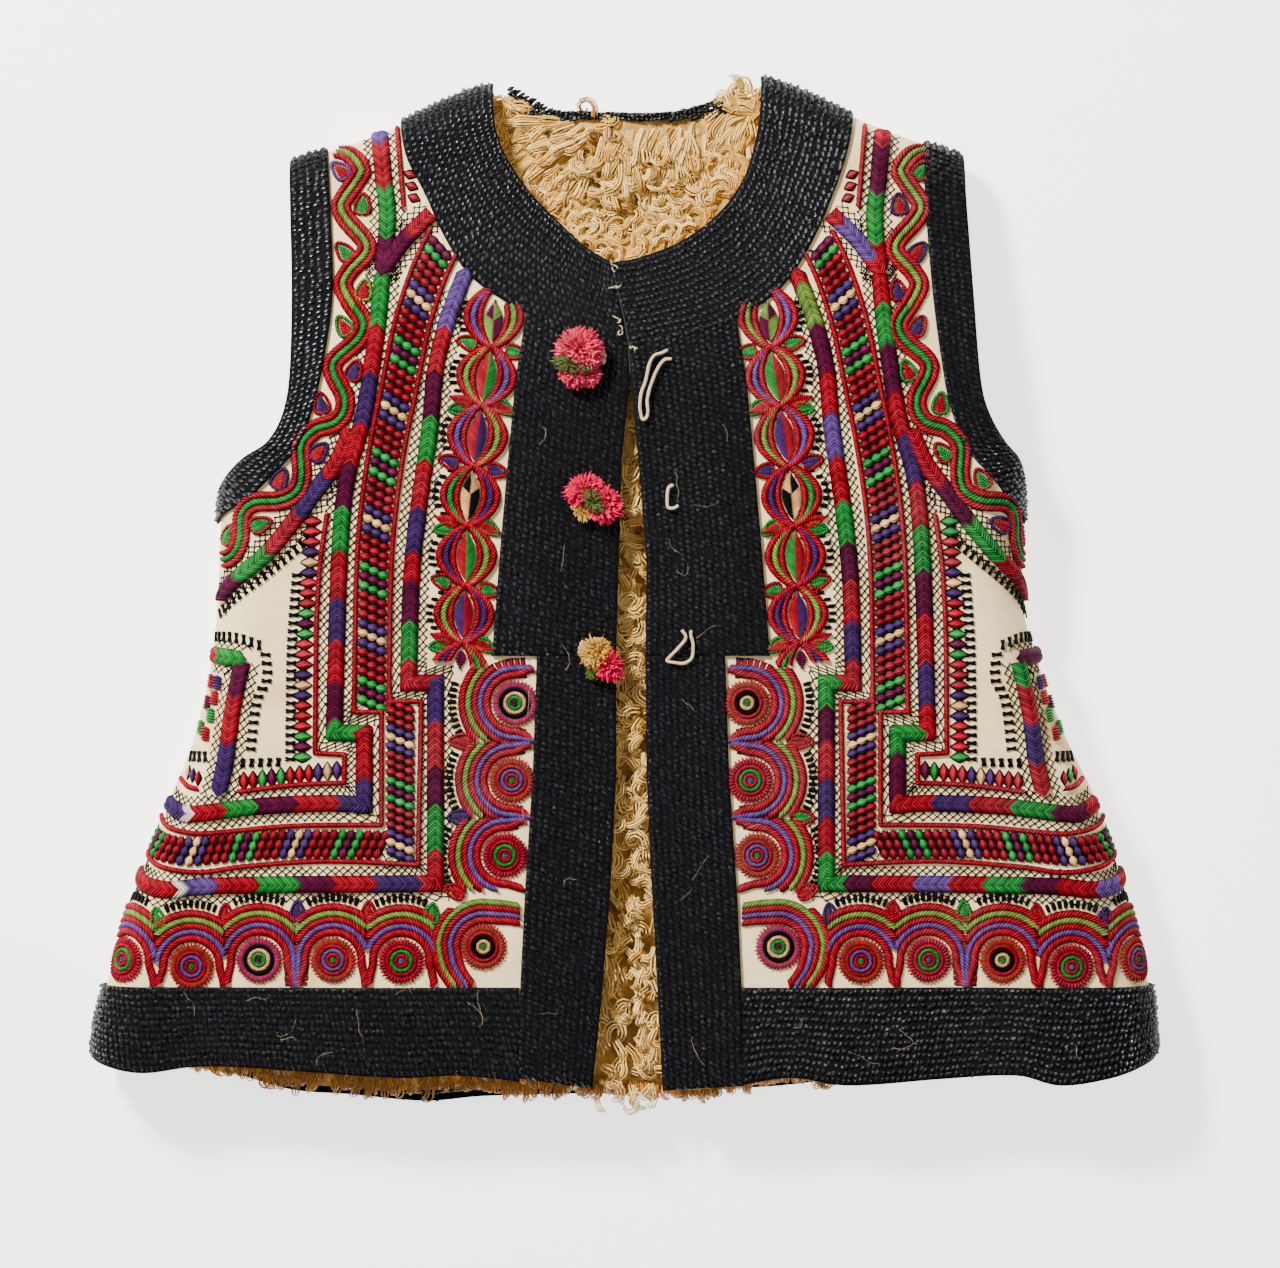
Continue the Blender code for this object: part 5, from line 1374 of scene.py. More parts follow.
@dataclass
class Front:
    """The raised embroidery of one front, from the named motifs."""

    side: Side
    cord_half: float = 4.6
    cord_crown: float = 3.0
    chevron_pitch: float = 1.65
    brick_edge: float = 9.0
    lane: float = 4.8
    bead_slope: float = -0.43  # how far a bead runs along the band for each millimetre across
    bead_length: float = 5.8
    corner_reach: float = 14.0  # how far from a corner the brick rows start to turn
    net_width: float = 4.5
    net_pitch: float = 4.3
    net_thread: float = 0.62
    oval_cords: tuple = ((7, 1.6, 0), (10.6, 1.8, 0.1), (14.1, 1.9, 0.5))  # distance out, half-width, lift

    def __post_init__(self) -> None:
        """Sets up the random draws."""
        self.random = np.random.default_rng(SEED)

    def publish(self, work: Needlework, name: str, finishes: Finishes, nodes: tuple = ()) -> None:
        """Args: work: the stitches; name; finishes; nodes that they replace. Adds them as a piece."""
        nodes = tuple(f"{self.side.column}_{node}" for node in nodes)
        add_mesh(f"{self.side.column}_{name}", work.mesh(), finishes.embroidery, nodes)

    def cords(self, finishes: Finishes) -> None:
        """Args: finishes. Adds the herringbone cords."""
        for name, route, way, runs, slot, lift in LONG_CORDS:
            work = Motifs(self.side)
            runs = [(LETTERS[run[0]], float(run[1:]))
                    for run in (RIGHT_RUNS[name] if self.side is RIGHT else runs).split()]
            work.cord(Route(route), self.cord_half, self.cord_crown, runs, Weave.CHEVRON, self.chevron_pitch,
                      columns=9, base=STITCH_BASE + lift, lean=way * 0.95)
            nodes = (name,) if name in ("outer_cord", "inner_cord", "armhole_cord", "side_cord") else ()
            self.publish(work, f"{name}_stitches", finishes, nodes)

    def brick_rows(self, work: Motifs, route: Route, starts: Array, first: int) -> None:
        """Args: work; route; where each row is along it; number of the first row. Lays rows of three beads."""
        lanes = np.array([-1, 0, 1]) * self.lane
        rise, length, count = self.bead_slope, self.bead_length, len(starts)
        s = (starts[:, None] + rise * lanes[None, :]).ravel()
        v = np.tile(lanes, count)
        pitch = float(starts[1] - starts[0])
        t = np.linspace(-0.5, 0.5, 6)
        paths = route.place(s[:, None] + rise * length * t, v[:, None] + length * t, STITCH_BASE, self.corner_reach)
        dyes = [DYE_INDEX[LETTERS[BRICK_ROWS[(first + i) % len(BRICK_ROWS)]]] for i in range(count)]
        width = pitch * 1.14 * self.random.uniform(0.94, 1.05, len(s))
        work.threads(paths, width, 2.1, np.repeat(dyes, 3), columns=4, taper=0.12, bluntness=1.5)
        t = np.linspace(-1, 1, 4)
        edge = self.brick_edge - 2.6
        for shift in np.array([-0.33, 0, 0.33]) * pitch:
            paths = route.place((starts + shift)[:, None] + rise * edge * t, edge * t, 0.35, self.corner_reach)
            work.threads(paths, 1.9, 0.4, DYE_INDEX[K], columns=3, taper=0.9)
        edge = self.brick_edge - 1.3
        for lean in (rise, 0.66):
            s = starts + 0.5 * pitch + (0 if lean < 0 else 0.1)
            paths = route.place(s[:, None] + lean * edge * t, edge * t, 0.95, self.corner_reach)
            work.threads(paths, 1.15, 0.75, DYE_INDEX[K], columns=3)

    def brick_band(self, finishes: Finishes) -> None:
        """Args: finishes. Adds the band of brick stitches between two thin cords."""
        work = Motifs(self.side)
        for route, start, pitch, count, first in ((BRICK_BAND, 7, 4.92, 50, 7), (BRICK_DROP, 2.8, 4.55, 18, 9),
                                                  (BRICK_FOOT, 9.5, 4.45, 30, 3)):
            self.brick_rows(work, Route(route), start + pitch * np.arange(count), first)
        for edge, start in ((-1, (98.7, 174.6)), (1, BRICK_BAND[0][0])):
            work.cord(Route([[start, *BRICK_BAND[0][1:]]]), 1.4, 2.1, ((R, 1),), Weave.TWIST, 1.6,
                      shift=edge * self.brick_edge, columns=5, lean=0.9)
        for legs in THIN_CORDS:
            work.thin(legs, R)
        self.publish(work, "brick_stitches", finishes, ("brick_band",))

    def net_strip(self, work: Needlework, route: Route, near: float, far: float) -> None:
        """Lays a strip of crossing black threads.

        Args:
            work: the batch that it joins.
            route: the line that it runs beside.
            near, far: its edges, across the route.
        """
        count = int(route.length / self.net_pitch)
        start = (np.arange(count) + 0.5) * route.length / count
        width = abs(far - near)
        t = np.linspace(0, 1, 3)
        for turn in (1, -1):
            wander = self.random.normal(0, 0.18, (count, 1))
            s = start[:, None] + turn * (t - 0.5) * width * 1.25 + wander
            paths = route.place(s, lerp(near, far, t), 0.25, 1.8 * max(abs(near), abs(far)))
            work.threads(paths, self.net_thread, 0.5, DYE_INDEX[K], columns=3, taper=0.9)

    def ladders(self, work: Motifs) -> None:
        """Args: work. Lays the crossed black bars, tufts and small fillings round the bare triangle."""
        column = Route([[(173.2, 5), (175.8, -30.7), (176.5, -61.9), (176.8, -94.6)]])
        slanted = Route([[(190, -36), (188.8, -50.4), (193.2, -59.3), (195.3, -68.6), (197.6, -89.4)]])
        armhole = Route([[(220, -18), (195.5, -1), (174.2, 16.1), (167, 24)]])
        top = Route([[(224.5, -29), (205, -29.5), (191, -34)]])
        for route, pitch, tilt in ((column, 4.1, 0), (slanted, 4.3, 0.1), (armhole, 4, QUARTER_TURN - 0.6),
                                   (top, 4.2, QUARTER_TURN)):
            count = int(route.length / pitch)
            at = (np.arange(count) + 0.5) * route.length / count
            middles = route.place(at, 0, 0, 3)[:, :2]
            work.bars(middles, np.full(count, tilt), 5.6, 1.5, 0.75)
        spots = np.array([(u, -93 - 0.03 * (u - 150)) for u in np.arange(183, 203, 4.6)])
        work.bars(spots, np.full(len(spots), QUARTER_TURN + 0.1), 5, 1.8, 0.9)
        spots = np.array([(u, -91.5) for u in np.arange(222, 238, 4)])
        work.bars(spots, np.full(len(spots), QUARTER_TURN - 0.2), 6, 1.6, 0.9)
        column_dyes, foot_dyes, hem_dyes = LOZENGES[self.side.column]
        line = Route([[(165.4, 30.8), (166.5, 10), (168.3, -16.1), (170, -43.2), (170.6, -69.7), (170.6, -91.5)]])
        spots = line.place(np.linspace(0, line.length, len(column_dyes)), 0, 0, 3)[:, :2]
        work.lozenges(spots, column_dyes, 0, 8.7, 5.2)
        spots = [(152.6 + 4.83 * i, -98.3 - 0.57 * i) for i in range(len(foot_dyes))]
        work.lozenges(spots, foot_dyes, QUARTER_TURN, 8.6, 4.9)
        work.lozenges([(225.4, -102.6), (229.2, -101.2), (233.2, -99.8)], hem_dyes, QUARTER_TURN, 6.5, 3.6)
        work.lozenges([(115.4, 212.2), (114.4, 206), (113.2, 199.8)], "RRR", 0.4, 6, 4.4)
        for u, y, dye in ((216.8, -53, P), (223.2, -52.3, R), (218.6, -60.8, R), (224.4, -63.4, M), (220.5, -69.9, G),
                          (223.1, -79.6, R), (228.2, -76.4, G)):
            t, rows = np.linspace(-3.2, 3.2, 4), np.linspace(-2.8, 2.8, 5)[:, None]
            work.threads(stacked(u + t, y + rows + 0.15 * t, STITCH_BASE), 1.9, 1.8, DYE_INDEX[dye], columns=4)

    def nets(self, finishes: Finishes) -> None:
        """Args: finishes. Adds the fine black nets beside the cords, and the ladders."""
        work = Motifs(self.side)
        edge = self.cord_half + 0.1
        below_neck = [[(90.5, 149), *INNER_CORD[0][2:]], *INNER_CORD[1:]]
        for legs in (OUTER_TOP, OUTER_CORD, below_neck, ARMHOLE_CORD, SIDE_CORD, NECK_CORD, SIDE_CORD_TOP):
            route = Route(legs)
            self.net_strip(work, route, edge, edge + self.net_width)
            self.net_strip(work, route, -edge, -edge - self.net_width)
        self.ladders(work)
        self.publish(work, "nets", finishes)

    def vine(self, finishes: Finishes) -> None:
        """Args: finishes. Adds the wavy triple cord and its leaves."""
        work = Motifs(self.side)
        route = Route(VINE_LINE)
        for shift, runs in ((-3.45, ((R, 1),)), (0, ((L, 105), (G, 1))), (3.45, ((R, 1),))):
            work.cord(route, 1.85, 2.1, runs, Weave.TWIST, 1.75, shift=shift, columns=5, lean=0.8)
        for (u, y, turn, left), right in zip(VINE_LEAVES, RIGHT_LEAF_DYES):
            work.leaf(u, y, turn, *(LETTERS[letter] for letter in (right if self.side is RIGHT else left)))
        self.publish(work, "vine_cords", finishes, ("vine",))

    def oval_chain(self, finishes: Finishes) -> None:
        """Args: finishes. Adds the chain of ovals with their split hearts, and the leaves where they cross."""
        work = Motifs(self.side)
        lanes = ((V, L), (L, V), (V, L), (G, P), (P, L), (L, P), (P, G))  # of each oval: outward, inward
        hearts = (((L, M), (M, L)), ((R,), (G,)), ((R,), (P,)), ((E, K), (K, E)), ((R,), (G,)), ((P,), (R,)),
                  ((M,), (M,)))  # of each oval: inward half and outward half, from the lower end up
        for k, (start, end) in enumerate(zip(OVAL_CROSSINGS, OVAL_CROSSINGS[1:])):
            ends = np.array([start, end])
            length = float(np.linalg.norm(ends[1] - ends[0]))
            angle = math.atan2(end[1] - start[1], end[0] - start[0])
            last = k == len(OVAL_CROSSINGS) - 2
            t = np.linspace(0, 0.36 if last else 1, 13 if last else 25)
            for size, half, base in self.oval_cords:
                for sign, lane in zip((1, -1), lanes[k]):
                    if k == 0:  # the neck band covers its top
                        t = np.linspace(0.05 if sign > 0 else 0.26, 1, 23)
                    coloured = size == self.oval_cords[1][0]
                    if coloured and not last:
                        inner = t[3:-3]
                        low = work.turned(start, angle, length * inner, sign * 10.4 * np.sin(math.pi * inner) ** 0.8, 0)
                        work.ground(low[:, :2], 3.4)
                    line = work.turned(start, angle, length * t, sign * size * np.sin(math.pi * t) ** 0.7, 0)
                    work.thin([line[:, :2]], lane if coloured else R, half, STITCH_BASE + base, 2.1)
            wide, high = (3.2, 0.3) if last else (5.3, 0.7 if k == 0 else 0.84)
            foot = ends[0] + (0.12 if last else 0.92) * (ends[1] - ends[0])
            work.satin(tuple(foot), angle + (0 if last else math.pi), length * high, wide, pointed,
                       hearts[k], STITCH_BASE, 1.5)
        for (u, y), (rim, fill) in zip(OVAL_CROSSINGS[1:-1], ((R, G), (G, R), (R, P), (G, R), (R, G), (G, R))):
            for sign in (1, -1):
                turn = 18.0 if sign > 0 else 192.0
                if fill is R:
                    work.leaf(u + sign * 12.2, y - 1.6, turn - sign * 24, rim, rim, 10, 3.4)
                    work.satin((u + sign * 4.6, y + sign * 0.8), math.radians(turn), 12.5, 3.9, teardrop,
                               ((R,), (R,)), STITCH_BASE + 0.5, 1.8)
                else:
                    work.leaf(u + sign * 12.6, y + sign * 2.6, turn, rim, fill, 10.4, 3.9)
        line = Route([OVAL_CROSSINGS[:-1]])
        at = np.arange(9, line.length - 2, 3.7)
        phase = np.abs(np.sin(math.pi * (at - 1) / 31))
        keep = phase > 0.35
        middles = line.place(at, 13.6 * phase ** 0.7 + 4.6, 0, 3)[:, :2][keep]
        work.bars(middles, np.full(len(middles), 0.1), 3.6, 2.3)
        self.publish(work, "oval_cords", finishes, ("oval_chain",))

    def build(self, finishes: Finishes) -> None:
        """Args: finishes. Adds the front's embroidery."""
        self.cords(finishes)
        self.brick_band(finishes)
        self.nets(finishes)
        self.vine(finishes)
        self.oval_chain(finishes)


class Rosettes(Enum):
    """Patterns of a rosette: its rim's stripes, then rings from the outside in, and its centre."""

    EYE = (V, (K, E, G), M)
    SUN = (N, (R, V, R), G)
    SHELL = (M, (R, G, R), V)
    CORNER = (N, (R, K, E), G)


@dataclass
class ScallopBorder:
    """Scalloped cords round a row of rosettes, beside the lower placket and above the hem."""

    side: Side
    column: tuple = ((60.3, -63.4), (61.9, -103.5), (65.5, -142.5))
    hem: tuple = ((119.1, -197.1), (154.4, -196.6), (192.9, -196.6), (228.3, -200.2), (265.2, -197.1))
    corner: Spot = (76.6, -189.8)
    foot_y: float = -210.6
    top_y: float = -44.5  # where the column stops
    side_reach: float = 276  # where the hem's border stops
    ground_half: float = 5.4
    rosette_radius: float = 12.2
    teeth: int = 72
    rings: tuple = (7.2, 5, 2.9)
    bar_radius: float = 32.6
    cords: tuple = ((27.4, R, 2.1), (24.1, L, 1.8), (20.9, R, 2), (18, V, 1.7), (14.7, R, 2.2))

    def placket_edge(self, y: float) -> float:
        """Args: y. Returns: the lower placket's far edge, as a distance from the axis."""
        rows = LOWER_PLACKET[1:]
        return float(np.interp(y, [row.outer_y for row in rows], [row.outer_u for row in rows]))

    def arch(self, radius: float, halves: Sequence[float], open_depth: float, cut: float) -> Array:
        """The line of one scalloped cord.

        Args:
            radius: of its round end.
            halves: distance to the cusp on the low and on the high side.
            open_depth: from the rosette's centre back to the border's straight edge.
            cut: how near a cusp a cord that is wider than its arch is cut off.
        Returns:
            Points (out, along) from the rosette's centre.
        """
        sides = []
        for half in halves:
            limit = half - cut
            end = math.asin(limit / radius) if radius > limit else QUARTER_TURN
            turn = np.linspace(0, end, 13)
            line = stacked(radius * np.cos(turn), radius * np.sin(turn))
            if radius <= limit:
                back = np.linspace(0, 1, 9)[1:]
                flare = radius + (limit - radius) * ease(back * 1.1) * (radius / half)
                line = np.concatenate([line, stacked(-open_depth * back, flare)])
            sides.append(line)
        return np.concatenate([(sides[0] * [1, -1])[::-1], sides[1][1:]])

    def rosette(self, work: Motifs, u: float, y: float, pattern: Rosettes) -> None:
        """Args: work: batch; u, y: the centre; pattern. Lays its rim, rings and centre."""
        stripe, rings, centre = pattern.value
        count = self.teeth
        number = np.arange(count)
        turn = number * 2 * math.pi / count
        red = number % 2 == 0
        outer = self.rosette_radius * np.where(red, 1, 0.93) * work.random.uniform(0.97, 1.04, count)
        t = np.linspace(0, 1, 4)
        r = lerp(self.rosette_radius * 0.62, outer[:, None], t[None, :])
        high = STITCH_BASE + 1.2 * np.sin(math.pi * (0.12 + 0.8 * t))[None, :] + np.where(red, 0, 0.15)[:, None]
        paths = stacked(u + r * np.cos(turn)[:, None], y + r * np.sin(turn)[:, None], high)
        dyes = np.where(red, DYE_INDEX[R], DYE_INDEX[stripe])
        work.threads(paths, np.where(red, 1.5, 0.65), np.where(red, 1, 0.6), dyes, columns=3, taper=0.45)
        turns = np.linspace(0, 2 * math.pi + 0.25, 27)
        for radius, dye in zip(self.rings, rings):
            ring = [(u + radius * math.cos(turn), y + radius * math.sin(turn)) for turn in turns]
            work.cord(Route([ring]), 1.25, 1.9, ((dye, 1),), Weave.TWIST, 1.25, columns=4, base=STITCH_BASE + 0.7,
                      lean=0.9)
        t = np.linspace(-1.3, 1.3, 4)
        for shift in (-0.9, 0, 0.9):
            work.threads(stacked(u + t, y + shift, STITCH_BASE + 1)[None], 1.1, 1.5, DYE_INDEX[centre], columns=4)

    def outer_bars(self, work: Motifs, u: float, y: float, facing: float, spread_: float) -> None:
        """Args: work; u, y: a rosette's centre; facing angle; half the angle covered. Lays bars beyond its arch."""
        angles = facing + np.arange(-spread_, spread_, 0.098)
        middles = stacked(u + self.bar_radius * np.cos(angles), y + self.bar_radius * np.sin(angles))
        work.bars(middles, angles, 4.4, 2.3)

    def build(self, finishes: Finishes) -> None:
        """Args: finishes. Adds both borders."""
        column, hem = Motifs(self.side), Motifs(self.side)
        right = self.side is RIGHT
        eye, sun, shell, corner_kind = Rosettes
        column_kinds = (corner_kind, shell, sun) if right else (eye, sun, shell)
        hem_kinds = (sun, shell, corner_kind, shell, sun) if right else (shell, sun, eye, sun, shell)
        for k, (u, y) in enumerate(self.column):
            depth = u - self.placket_edge(y) - 0.6
            for radius, dye, half in self.cords:
                line = self.arch(radius, ((20, 18.9), (19.5, 20), (18.2, 19.5))[k], depth, 0.5) + [u, y]
                line = line[line[:, 1] < self.top_y]
                if dye is V:
                    column.ground(line[3:-3][::-1], self.ground_half)
                column.thin([line[::-1]], dye, half)
            self.rosette(column, u, y, column_kinds[k])
            self.outer_bars(column, u, y, -0.12 if k == 0 else 0, 0.45)
        middle = (R, G) if right else (P, P)
        for leaf in ((88.9, -83.2, 0, R, R), (89.4, -122.6, 0, *middle), (91.5, -160.8, 20, R, R)):
            column.leaf(*leaf, 11, 4)
        cu, cy = self.corner
        for (radius, dye, half), reach in zip(self.cords, (25.6, 23.2, 20.2, 17.2, 13.9)):
            turn = np.linspace(QUARTER_TURN, 0, 13)
            bow = stacked(cu + reach * np.cos(turn), cy + reach * np.sin(turn))
            flat = [(self.placket_edge(cy) + 0.9, cy + reach * 0.9), (cu - 12, cy + reach * 0.96)]
            foot = [(cu + reach - 2.5, cy - 11), (cu + reach - 9, self.foot_y)]
            hem.thin([[*flat, *bow, *foot] if radius < 27 else [*bow[5:], *foot]], dye, half)
        self.rosette(hem, cu, cy, eye if right else corner_kind)
        for k, (u, y) in enumerate(self.hem):
            for radius, dye, half in self.cords:
                halves = ((17.8, 17.65), (17.65, 19.25), (19.25, 17.7), (17.7, 18.45), (18.45, 18.45))[k]
                line = self.arch(radius, halves, y - self.foot_y, 0.5)[:, ::-1] + [u, y]
                line = line[line[:, 0] < self.side_reach]
                if dye is V:
                    hem.ground(line, self.ground_half)
                hem.thin([line], dye, half)
            self.rosette(hem, u, y, hem_kinds[k])
            self.outer_bars(hem, u, y, QUARTER_TURN, 0.4)
        inner, middle = (P, G) if right else (G, P)
        for u, y, turn, dye in ((103.4, -172.6, 100, inner), (135.9, -171.5, 90, R), (172.9, -171.5, 90, middle),
                                (210.3, -173, 90, R), (246, -175, 80, inner)):
            hem.leaf(u, y, turn, dye, dye, 10.5, 3.8)
        for work, name in ((column, "column"), (hem, "hem")):
            add_mesh(f"{self.side.column}_{name}_scallops", work.mesh(), finishes.embroidery,
                     (f"{self.side.column}_{name}_border",))


# Wool, buttons and loops.


def tubes(paths: Array, radii: Array, sides: int, dyes: Array) -> Mesh:
    """Round strands along paths.

    Args:
        paths: (strands, stations, 3) points in mm.
        radii: (strands, stations) in mm.
        sides: of each cross-section.
        dyes: index of each strand's dye.
    Returns:
        The mesh.
    """
    count, stations = paths.shape[:2]
    random = np.random.default_rng(SEED + count)
    ahead = unit(np.gradient(paths, axis=1))
    first = unit(np.cross(ahead, random.normal(size=(count, 1, 3))))
    second = np.cross(ahead, first)
    turn = np.arange(sides) * 2 * math.pi / sides
    ring = first[:, :, None] * np.cos(turn)[:, None] + second[:, :, None] * np.sin(turn)[:, None]
    points = paths[:, :, None] + ring * radii[:, :, None, None]
    k = np.arange(stations * sides).reshape(stations, sides)
    after = np.roll(k, -1, axis=1)
    faces = repeated(stacked(k[:-1], after[:-1], after[1:], k[1:]).reshape(-1, 4), count)
    yarn = stacked(measured(paths)[:, :, None], np.cos(turn), random.random(count)[:, None, None])
    dye = np.repeat(np.broadcast_to(dyes, count), stations * sides)
    return Mesh(points.reshape(-1, 3), faces, dye, yarn.reshape(-1, 3))


@dataclass
class Locks:
    """Locks of wool where the fleece shows: bundles of tapering strands that curl together."""

    strand: float = 0.62  # radius of a strand at its root
    straight_share: float = 0.25  # of a lock's length, before it curls
    neck_pitch: float = 4.6
    gap_pitch: float = 3.8
    gap_lanes: int = 5
    tufts: int = 36
    left_tufts: int = 16
    hem_count: int = 440
    hair_count: int = 90
    hem_hairs: float = 0.35  # share of the hairs that lie on the hem's trim

    def grow(self, random: np.random.Generator, roots: Array, heading: Array, straight: Array, ring: Array,
             turns: Array, half: Array, shades: Sequence[tuple], rise: float = 2.5, sag: float = 3.0,
             strands: int = 4, stations: int = 11) -> Mesh:
        """Grows one lock from each root.

        Args:
            random: the generator.
            roots: (locks, 3) where each starts.
            heading: the way each sets out in plan, in radians.
            straight, ring, turns: how far it runs first, the radius of its curl, and how often that goes round.
            half: half the bundle's width.
            shades: (dye, share) of the wool's colours.
            rise, sag: how high a lock arches and how deep its tip sinks.
            strands, stations: of each lock.
        Returns:
            The locks as one mesh.
        """
        count = len(roots)
        t = np.linspace(0, 1, stations)
        first = self.straight_share
        bent = clamp((t - first) / (1 - first), 0, 1)[None, :]
        angle = heading[:, None] + 2 * math.pi * turns[:, None] * bent ** 1.2
        angle = angle + random.normal(0, 0.3, (count, 1)) * np.sin(5 * t + random.uniform(0, 6, (count, 1)))
        curl = 2 * math.pi * ring[:, None] * np.abs(turns)[:, None] * lerp(1.35, 0.5, bent) / (1 - first)
        pace = np.where(t[None, :] < first, straight[:, None] / first, curl + 0.4 * straight[:, None]) / (stations - 1)
        plan = roots[:, None, :2] + np.cumsum(stacked(np.cos(angle), np.sin(angle)) * pace[..., None], axis=1)
        height = roots[:, 2:] + rise * np.sin(math.pi * np.minimum(1.4 * t, 1)) * random.uniform(0.5, 1.3, (count, 1))
        height = height - sag * t ** 2
        lane = np.linspace(-1, 1, strands)[None, :, None] + random.normal(0, 0.12, (count, strands, 1))
        taper = (lerp(0.75, 1, np.minimum(3 * t, 1)) * lerp(1, 0.3, clamp((t - 0.45) / 0.55, 0, 1)))[None, None, :]
        aside = half[:, None, None] * taper * lane
        round_ = np.sqrt(np.maximum(1 - clamp(lane, -1, 1) ** 2, 0))
        paths = stacked(plan[:, None, :, 0] - np.sin(angle)[:, None, :] * aside,
                        plan[:, None, :, 1] + np.cos(angle)[:, None, :] * aside,
                        height[:, None, :] + 0.8 * half[:, None, None] * taper * round_)
        radii = np.broadcast_to(self.strand * lerp(1, 0.35, t ** 2), (count * strands, stations))
        radii = radii * random.uniform(0.75, 1.2, (count * strands, 1))
        share = np.array([part for _, part in shades], float)
        colours = np.array([DYE_INDEX[dye] for dye, _ in shades])
        whole = random.choice(colours, (count, 1), p=share / share.sum())
        single = random.choice(colours, (count, strands), p=share / share.sum())
        shade = np.where(random.random((count, strands)) < 0.3, single, whole)
        return tubes(paths.reshape(-1, stations, 3), radii, 3, shade.ravel())

    def neck(self) -> tuple[Mesh, Mesh]:
        """Returns: the combed locks and the ringlets inside the neck."""
        random = np.random.default_rng(SEED)
        x, y = np.meshgrid(np.arange(-76, 78, self.neck_pitch), np.arange(122, 256, self.neck_pitch))
        shift = self.neck_pitch / 2
        x, y = (grid.ravel() + random.uniform(-shift, shift, grid.size) for grid in (x, y))
        edges = {}
        for side in SIDES:
            line = np.array([row.inner for row in NECK_BAND[side.column][:-1]], float)
            edges[side] = np.interp(y, line[:, 1], line[:, 0])
        top = np.interp(x, NECKLINE[:, 0], NECKLINE[:, 1]) - 5.0
        inside = (x > edges[LEFT] - 4) & (x < edges[RIGHT] + 4) & (y > 158) & (y < top)
        edge = spread(NECKLINE - [0, 4.5], 44)
        x, y = np.concatenate([x[inside], edge[:, 0]]), np.concatenate([y[inside], edge[:, 1]])
        z = fleece_top(x, y)
        swept = ease((2 - x) / 36) * ease((y - 188) / 26)
        crown = ease((y - 217) / 10) * (1 - swept)
        combed = random.random(len(x)) < np.maximum(swept, crown) * 1.1
        made = []
        for mask in (combed, ~combed):
            n = int(mask.sum())
            roots = stacked(x[mask], y[mask], z[mask] - 0.6)
            if mask is combed:
                down = -QUARTER_TURN - 0.006 * (x[mask] + 5)
                left = math.pi + lerp(1.15, 0.45, ease((y[mask] - 205) / 35))
                heading = np.where(swept[mask] > 0.35, left, down % (2 * math.pi)) + random.normal(0, 0.22, n)
                made.append(self.grow(random, roots, heading, random.uniform(9, 15, n), random.uniform(3, 6, n),
                                      random.normal(0, 0.16, n), random.uniform(1.5, 2.6, n),
                                      ((Dye.WOOL_PALE, 6), (Dye.WOOL_GOLD, 4)), rise=3))
            else:
                heading = random.uniform(0, 2 * math.pi, n)
                turns = random.uniform(0.75, 1.25, n) * random.choice([-1, 1], n)
                made.append(self.grow(random, roots, heading, random.uniform(1.5, 4, n), random.uniform(2, 3.9, n),
                                      turns, random.uniform(1.1, 2, n),
                                      ((Dye.WOOL_PALE, 6), (Dye.WOOL_GOLD, 5), (Dye.WOOL_AMBER, 1)), rise=3.6,
                                      sag=1.5, stations=12))
        return made[0], made[1]

    def corners(self) -> Mesh:
        """Returns: the tufts that stand out over the back neck band at both shoulders."""
        random = np.random.default_rng(SEED + 5)
        n = self.tufts
        left = np.arange(n) < self.left_tufts
        x = np.where(left, random.uniform(-68, -56, n), random.uniform(56, 70, n))
        y = np.where(left, random.uniform(240, 256, n), random.uniform(245, 258, n))
        heading = np.where(left, random.normal(-0.7, 0.5, n), random.normal(2.4, 0.9, n))
        roots = stacked(x, y, fleece_top(x, y) + random.uniform(0, 3, n))
        return self.grow(random, roots, heading, random.uniform(3, 6, n), random.uniform(2, 4, n),
                         random.normal(0, 0.3, n), random.uniform(1.4, 2.4, n),
                         ((Dye.WOOL_PALE, 5), (Dye.WOOL_GOLD, 3)), rise=1.5, sag=2)

    def gap(self) -> Mesh:
        """Returns: the locks between the two fronts."""
        random = np.random.default_rng(SEED + 1)
        y = np.repeat(np.arange(-262, 124, self.gap_pitch), self.gap_lanes)
        n = len(y)
        y = y + random.uniform(-self.gap_pitch / 2, self.gap_pitch / 2, n)
        left, right = CENTRE_EDGE(LEFT, y), CENTRE_EDGE(RIGHT, y)
        share = (np.arange(n) % self.gap_lanes + random.random(n)) / self.gap_lanes
        x = lerp(left - 2, right + 1, share)
        z = 30.5 + 12.0 * np.abs(2 * share - 1) * np.sqrt(random.random(n))
        straight = random.random(n) < lerp(0.75, 0.35, ease((y + 240) / 120))
        turns = np.where(straight, random.normal(0, 0.2, n), random.uniform(0.3, 0.9, n) * random.choice([-1, 1], n))
        heading = np.where(straight, random.normal(-QUARTER_TURN, 0.5, n), random.uniform(0, 2 * math.pi, n))
        return self.grow(random, stacked(x, y, z), heading,
                         np.where(straight, random.uniform(6, 11, n), random.uniform(2, 5, n)),
                         random.uniform(2, 3.8, n), turns, random.uniform(1.3, 2.2, n),
                         ((Dye.WOOL_PALE, 8), (Dye.WOOL_BEIGE, 3), (Dye.WOOL_GOLD, 1)), rise=3, sag=2,
                         strands=3, stations=9)

